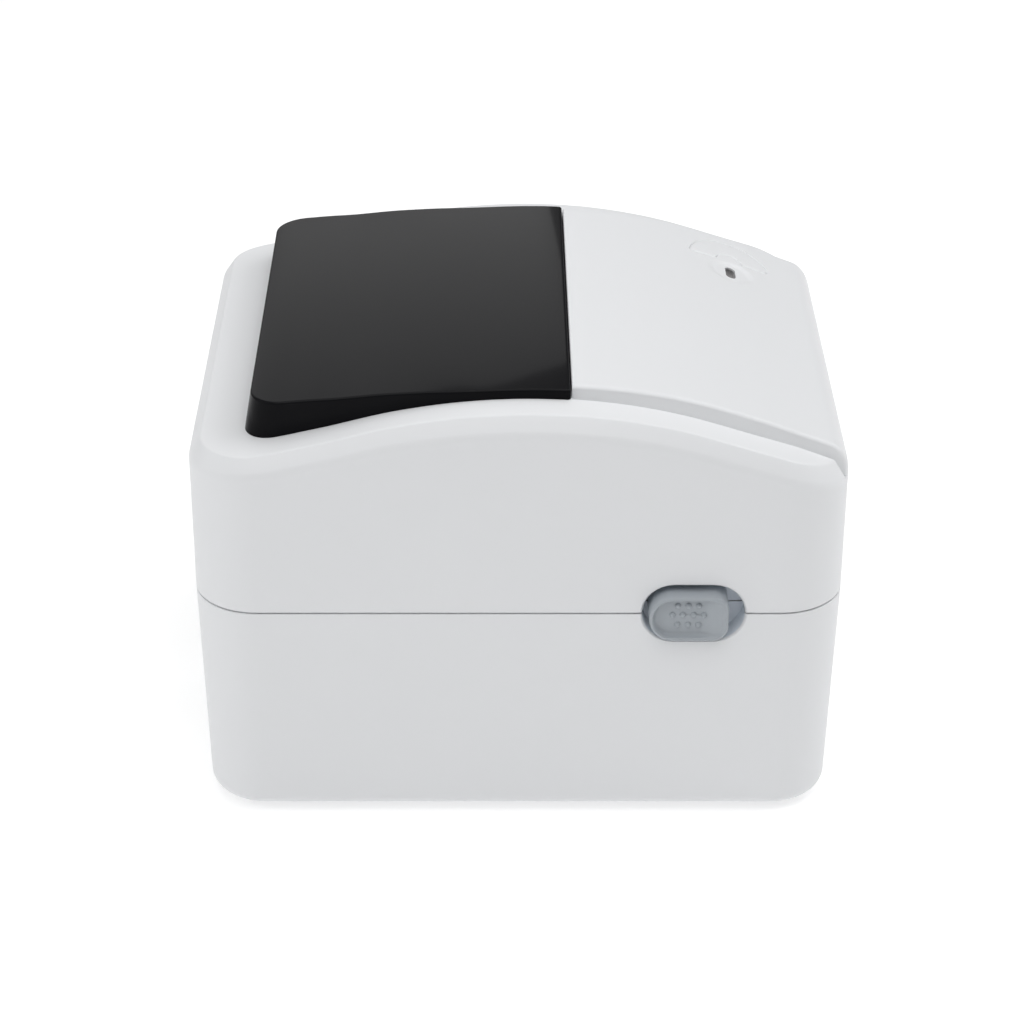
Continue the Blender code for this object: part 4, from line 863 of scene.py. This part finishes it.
# %% Cut and join the lid
ROOM_LOW, ROOM_STEP, ROOM_TOP = PARTING_Z + 0.0369, PARTING_Z + 0.0424, PARTING_Z + 0.09
wide, narrow = STRIP_SIDE - 0.0004, STRIP_SIDE - 0.0023
carve(rim, "DIFFERENCE", [
    block("strip_room", (-wide, FRONT - 0.01, ROOM_STEP), (wide, STRIP_END, ROOM_TOP), housing),
    block("strip_room_low", (-narrow, FRONT - 0.01, ROOM_LOW), (narrow, FRONT + 0.01, ROOM_STEP + 0.001),
          housing)])
added, removed = [], []
for side in (LEFT, RIGHT):
    near, far = sorted((side * (POCKET_FLOOR - WALL), side * (HALF_W - 0.001)))
    front, back = POCKET_Y - POCKET_HALF_L - WALL, POCKET_Y + POCKET_HALF_L + WALL
    added.append(block("pocket_back", (near, front, LID_BOTTOM),
                       (far, back, PARTING_Z + POCKET_HALF_H + WALL), housing))
    removed += pocket_cutters(side)
    inner, outer_face = sorted((side * (POCKET_FLOOR - WALL - 0.002), side * (POCKET_FLOOR + 0.001)))
    # the neck slot's cut faces take the pocket's painted shade tint
    removed.append(block("neck_slot", (inner, LATCH_Y - 0.0105, PARTING_Z + 0.0024),
                         (outer_face, LATCH_Y + 0.0065, PARTING_Z + 0.0074), pocket_shade_tint))
    middle = side * HINGE_X
    tab = [(HINGE_Y - HINGE_R, PARTING_Z + 0.0109)]
    tab += [(HINGE_Y - HINGE_R * cos(a), HINGE_Z - HINGE_R * sin(a))
            for a in (pi * i / 20 for i in range(21))]
    tab += [(HINGE_Y + HINGE_R - 0.00005, PARTING_Z + 0.0109)]
    added.append(skin("hinge_tab", [[(middle + x, y, z) for y, z in tab] for x in (-TAB_HALF, TAB_HALF)],
                      housing))
    removed.append(cylinder("pin_hole", (middle - 0.02, HINGE_Y, HINGE_Z), (middle + 0.02, HINGE_Y, HINGE_Z),
                            0.0013, housing))
removed.append(block("label_slot", (-EXIT_HALF, FRONT - 0.01, LID_BOTTOM - 0.01),
                     (EXIT_HALF, FRONT + 0.006, EXIT_HIGH), housing))
carve(rim, "UNION", added)
carve(rim, "DIFFERENCE", removed)
strip = skin("centre_strip", strip_rings(), housing)
moon_hole = on_strip([(moon(FEED_GAP), -0.009), (moon(FEED_GAP), -FEED_BEVEL),
                      (moon(FEED_GAP + FEED_BEVEL * 0.4), -FEED_BEVEL * 0.4),
                      (moon(FEED_GAP + FEED_BEVEL), 0.0), (moon(FEED_GAP + FEED_BEVEL * 1.2), 0.004)])
lens_hole = on_strip([(lens_shift(lens_outline(0.0001)), height) for height in (-0.009, 0.004)])
carve(strip, "DIFFERENCE", [skin("moon_hole", moon_hole, housing), skin("lens_hole", lens_hole, housing)])
lid = smooth(join(rim, [strip]))
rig.ride(lid, "lid")
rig.replaces(lid, "lid_shell")
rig.slot(lid, "housing")
print("lid carved:", len(lid.data.polygons), "faces")

# %% [markdown]
# ## The smoked window
# The window is one cap of black acrylic. Its front end is square and only 4 mm thick, and its back end is
# rounded and 14 mm high, because its top stays almost level while the lid falls away beneath it. The top face
# runs in strips from side to side, so its reflections stay straight.

# %% Window skin
WINDOW_LEAN, BACK_LEAN, WINDOW_EDGE = 0.0004, 0.0022, 0.0008


def window_ring(up, inset, lift=0.0):
    """One ring: up goes from 0 at the seat to 1 at the top edge, and lift is the depth below the top face."""
    ring = []
    for x, y in loop(inset, WINDOW_HALF, WINDOW_FRONT, WINDOW_BACK, (0.0012, 0.0110), (40, 14, 70)):
        x -= x / WINDOW_HALF * WINDOW_LEAN * up
        y -= max(y, 0.0) / WINDOW_BACK * BACK_LEAN * up
        seat = roof(y) + 0.0006
        ring.append((x, y, seat + (window_top(y) - lift - seat) * up))
    return ring


edge_turn = [pi / 2 * i / 6 for i in range(7)]
rings = [window_ring(up, 0.0, WINDOW_EDGE) for up in (0.0, 0.3, 0.6, 0.85)]
rings += [window_ring(1.0, WINDOW_EDGE * (1 - cos(a)), WINDOW_EDGE * (1 - sin(a))) for a in edge_turn]
window = smooth(skin("smoked_window", rings, window_finish, strips=True), 40)
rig.ride(window, "lid")
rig.replaces(window, "lid_window")
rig.slot(window, "window")
print("window:", len(window.data.polygons), "faces")

# %% [markdown]
# ## Latch buttons
# Each latch button is a blue grey finger pad. Its back end is almost a half circle and its front end has
# tighter corners, where a fingertip pulls. A raised rim runs round a dished face that slopes up towards the
# front, and ten small domes in rows of three, four and three give grip.

# %% Latch buttons
PAD_DEPTH, PAD_RIM = 0.0022, 0.0009
DOT_R, DOT_STEP = 0.0011, 0.00345
DOT_ROWS = ((0.0042, 3), (0.0008, 4), (-0.0030, 3))


def pad_outline(inset):
    """The pad's outline round its own centre, as (along the printer, up) points."""
    line = loop(inset, LATCH_HALF_H, -LATCH_HALF_L, LATCH_HALF_L, (0.0052, 0.0080), (6, 16, 12))
    return [(b, a) for a, b in line]


def pad_floor(a, inset):
    """How deep the dish is at this place: it rises over the last third towards the front."""
    edge = min(max((inset - PAD_RIM) / 0.0012, 0.0), 1.0)
    front = min(max((a + LATCH_HALF_L - 0.0020) / 0.0080, 0.0), 1.0)
    return PAD_DEPTH * edge * edge * (3 - 2 * edge) * (0.25 + 0.75 * front * front * (3 - 2 * front))


def pad_rings(side):
    rings = []
    rows = [(0.0, LATCH_FACE - POCKET_FLOOR - 0.0005), (0.0, 0.0010), (0.0001, 0.0005), (0.0003, 0.0002),
            (0.0006, 0.00005), (0.0008, 0.0), (PAD_RIM, 0.0)]
    rows += [(inset, None)
             for inset in (0.0012, 0.0015, 0.0018, 0.0021, 0.0027, 0.0031, 0.0037, 0.0045, 0.0055, 0.0065,
                           0.0075)]
    for inset, depth in rows:
        ring = []
        for a, b in pad_outline(inset):
            sunk = pad_floor(a, inset) if depth is None else depth
            ring.append((side * (LATCH_FACE - sunk), LATCH_Y + a, PARTING_Z + b))
        rings.append(ring)
    return rings


def dot(side, a, b):
    """A small dome on the pad's face."""
    rings = []
    for angle in (0.0, 0.3, 0.6, 0.9, 1.2, 1.45):
        out = LATCH_FACE - pad_floor(a, 0.006) - 0.0002 + DOT_R * sin(angle)
        reach = DOT_R * cos(angle)
        turns = [pi * i / 9 for i in range(18)]
        rings.append([(side * out, LATCH_Y + a + reach * cos(t), PARTING_Z + b + reach * sin(t))
                      for t in turns])
    # the dome takes the paler dot colour, a painted highlight
    return skin("dot", rings, dot_gloss_and_painted_highlight)


def hook(side):
    """The neck through the pocket's back wall, its plate and the toe that catches the base."""
    wall = POCKET_FLOOR - 0.0023
    neck_x = sorted((side * (wall - 0.0012), side * (POCKET_FLOOR + 0.002)))
    plate_x = sorted((side * (wall - 0.0026), side * (wall - 0.0003)))
    arm = [(-0.008, 0.0029), (-0.008, -0.0136), (0.001, -0.0136), (0.001, -0.0111), (-0.004, -0.0106),
           (-0.004, 0.0029)]
    return [
        block("neck", (neck_x[0], LATCH_Y - 0.006, PARTING_Z + 0.0029),
              (neck_x[1], LATCH_Y + 0.006, PARTING_Z + 0.0069),
              button_finish),
        block("plate", (plate_x[0], LATCH_Y - 0.008, PARTING_Z + 0.0011),
              (plate_x[1], LATCH_Y + 0.008, PARTING_Z + 0.0089),
              button_finish),
        skin("toe", [[(x, LATCH_Y + y, PARTING_Z + z) for y, z in arm] for x in plate_x], button_finish)]


for side, name in ((LEFT, "left"), (RIGHT, "right")):
    pad = skin(f"latch_pad_{name}", pad_rings(side), button_finish)
    pieces = hook(side)
    for height, count in DOT_ROWS:
        pieces += [dot(side, (i - (count - 1) / 2) * DOT_STEP + 0.0002, height) for i in range(count)]
    smooth(join(pad, pieces), 50)
    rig.ride(pad, f"latch_{name}")
    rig.replaces(pad, f"latch_button_{name}")
    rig.slot(pad, "latch_plastic")
    print(pad.name, len(pad.data.polygons), "faces")

# %% [markdown]
# ## Feed button and status light
# The feed button uses the half-moon outline with a small bevel on its edge. The bevel and the one round its
# hole meet in a shallow groove, which is what the eye reads as the button's outline. The status light is a
# clear insert that sits just below the dish.

# %% Feed button and status light
key_rings = on_strip([(moon(0.0), -0.0040), (moon(0.0), -FEED_BEVEL),
                      (moon(-FEED_BEVEL * 0.4), -FEED_BEVEL * 0.4),
                      (moon(-FEED_BEVEL), 0.0), (moon(-FEED_BEVEL * 2), 0.00005)])
feed_key = smooth(skin("feed_key", key_rings, housing, strips=True), 50)
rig.ride(feed_key, "feed_button")
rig.replaces(feed_key, "feed_button")
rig.slot(feed_key, "housing")
light_rings = on_strip([(lens_shift(lens_outline(-0.0001)), -0.0070),
                        (lens_shift(lens_outline(-0.0001)), -0.0012),
                        (lens_shift(lens_outline(-0.0003)), -0.0010),
                        (lens_shift(lens_outline(-0.0008)), -0.0009)])
light = smooth(skin("status_light", light_rings, lens_finish), 50)
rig.ride(light, "lid")
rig.replaces(light, "status_lens")
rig.slot(light, "lens")
print("feed key:", len(feed_key.data.polygons), "faces")

# %% [markdown]
# ## Studio and camera
# The printer stands on a pale floor among large soft lights: one above, one behind the camera that catches
# the chamfer, one low at the back that the window mirrors, and one at each end for the rounded corners. The
# floor glows a little, as a lit table does, which fills the walls from below and washes out the shadow. The
# camera stands to the printer's left, well above it, with a long lens.

# %% Floor, light and camera
def white_floor():
    finish = Finish("white_floor", 0.9, colour=(0.70, 0.70, 0.70))
    fibre = finish.noise(0.01, 2.0)
    finish.set("Roughness", 0.85 + fibre * 0.1)
    finish.set("Emission Color", (1, 1, 1, 1))
    finish.set("Emission Strength", 0.44)
    return finish.material


SIZE = 6.0
floor = skin("floor",
             [[(SIZE * a, SIZE * b, z) for a, b in ((-1, -1), (1, -1), (1, 1), (-1, 1))]
              for z in (-0.02, 0.0)],
             white_floor())
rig.stage(floor)


def soft_light(name, place, target, width, height, power, shade=(1, 1, 1)):
    lamp = bpy.data.lights.new(name, "AREA")
    lamp.shape = "RECTANGLE"
    lamp.size, lamp.size_y = width, height
    lamp.energy = power
    lamp.color = shade
    made = bpy.data.objects.new(name, lamp)
    made.location = place
    made.rotation_euler = (Vector(target) - Vector(place)).to_track_quat("-Z", "Y").to_euler()
    bpy.context.scene.collection.objects.link(made)
    return made


middle = (0, 0, 0.08)
soft_light("top_light", (0.1, -0.3, 1.6), middle, 2.2, 2.2, 19.0)
soft_light("side_light", (-1.0, 0.2, 1.45), middle, 1.4, 1.0, 8.5)
soft_light("back_light", (2.1, 1.3, 1.35), middle, 3.6, 1.2, 9.5)
soft_light("rear_end_light", (-0.4, 1.75, 0.9), middle, 1.6, 1.4, 8.2)
soft_light("front_end_light", (0.4, -1.6, 1.2), middle, 1.6, 1.4, 10.5)
world = bpy.data.worlds.new("tent")
world.use_nodes = True
world.node_tree.nodes["Background"].inputs["Color"].default_value = (1, 1, 1, 1)
world.node_tree.nodes["Background"].inputs["Strength"].default_value = 0.12
bpy.context.scene.world = world
bpy.context.scene.view_settings.view_transform = "Standard"

camera = bpy.data.objects.new("camera", bpy.data.cameras.new("camera"))
camera.location = (-0.8916, 0.0079, 0.5683)
camera.rotation_euler = (radians(90 - 29.2), 0, radians(-90))
camera.data.lens, camera.data.sensor_width = 100.6, 36
camera.data.shift_x, camera.data.shift_y = 0.0168, -0.0009
bpy.context.scene.collection.objects.link(camera)
bpy.context.scene.camera = camera
print("camera lens", camera.data.lens)

# %% Sizes and finish
with open("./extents.json", "w") as out:
    json.dump({"cad": cad_box, "visual": [list(corner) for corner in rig.bounds()]}, out)
print(open("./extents.json").read())
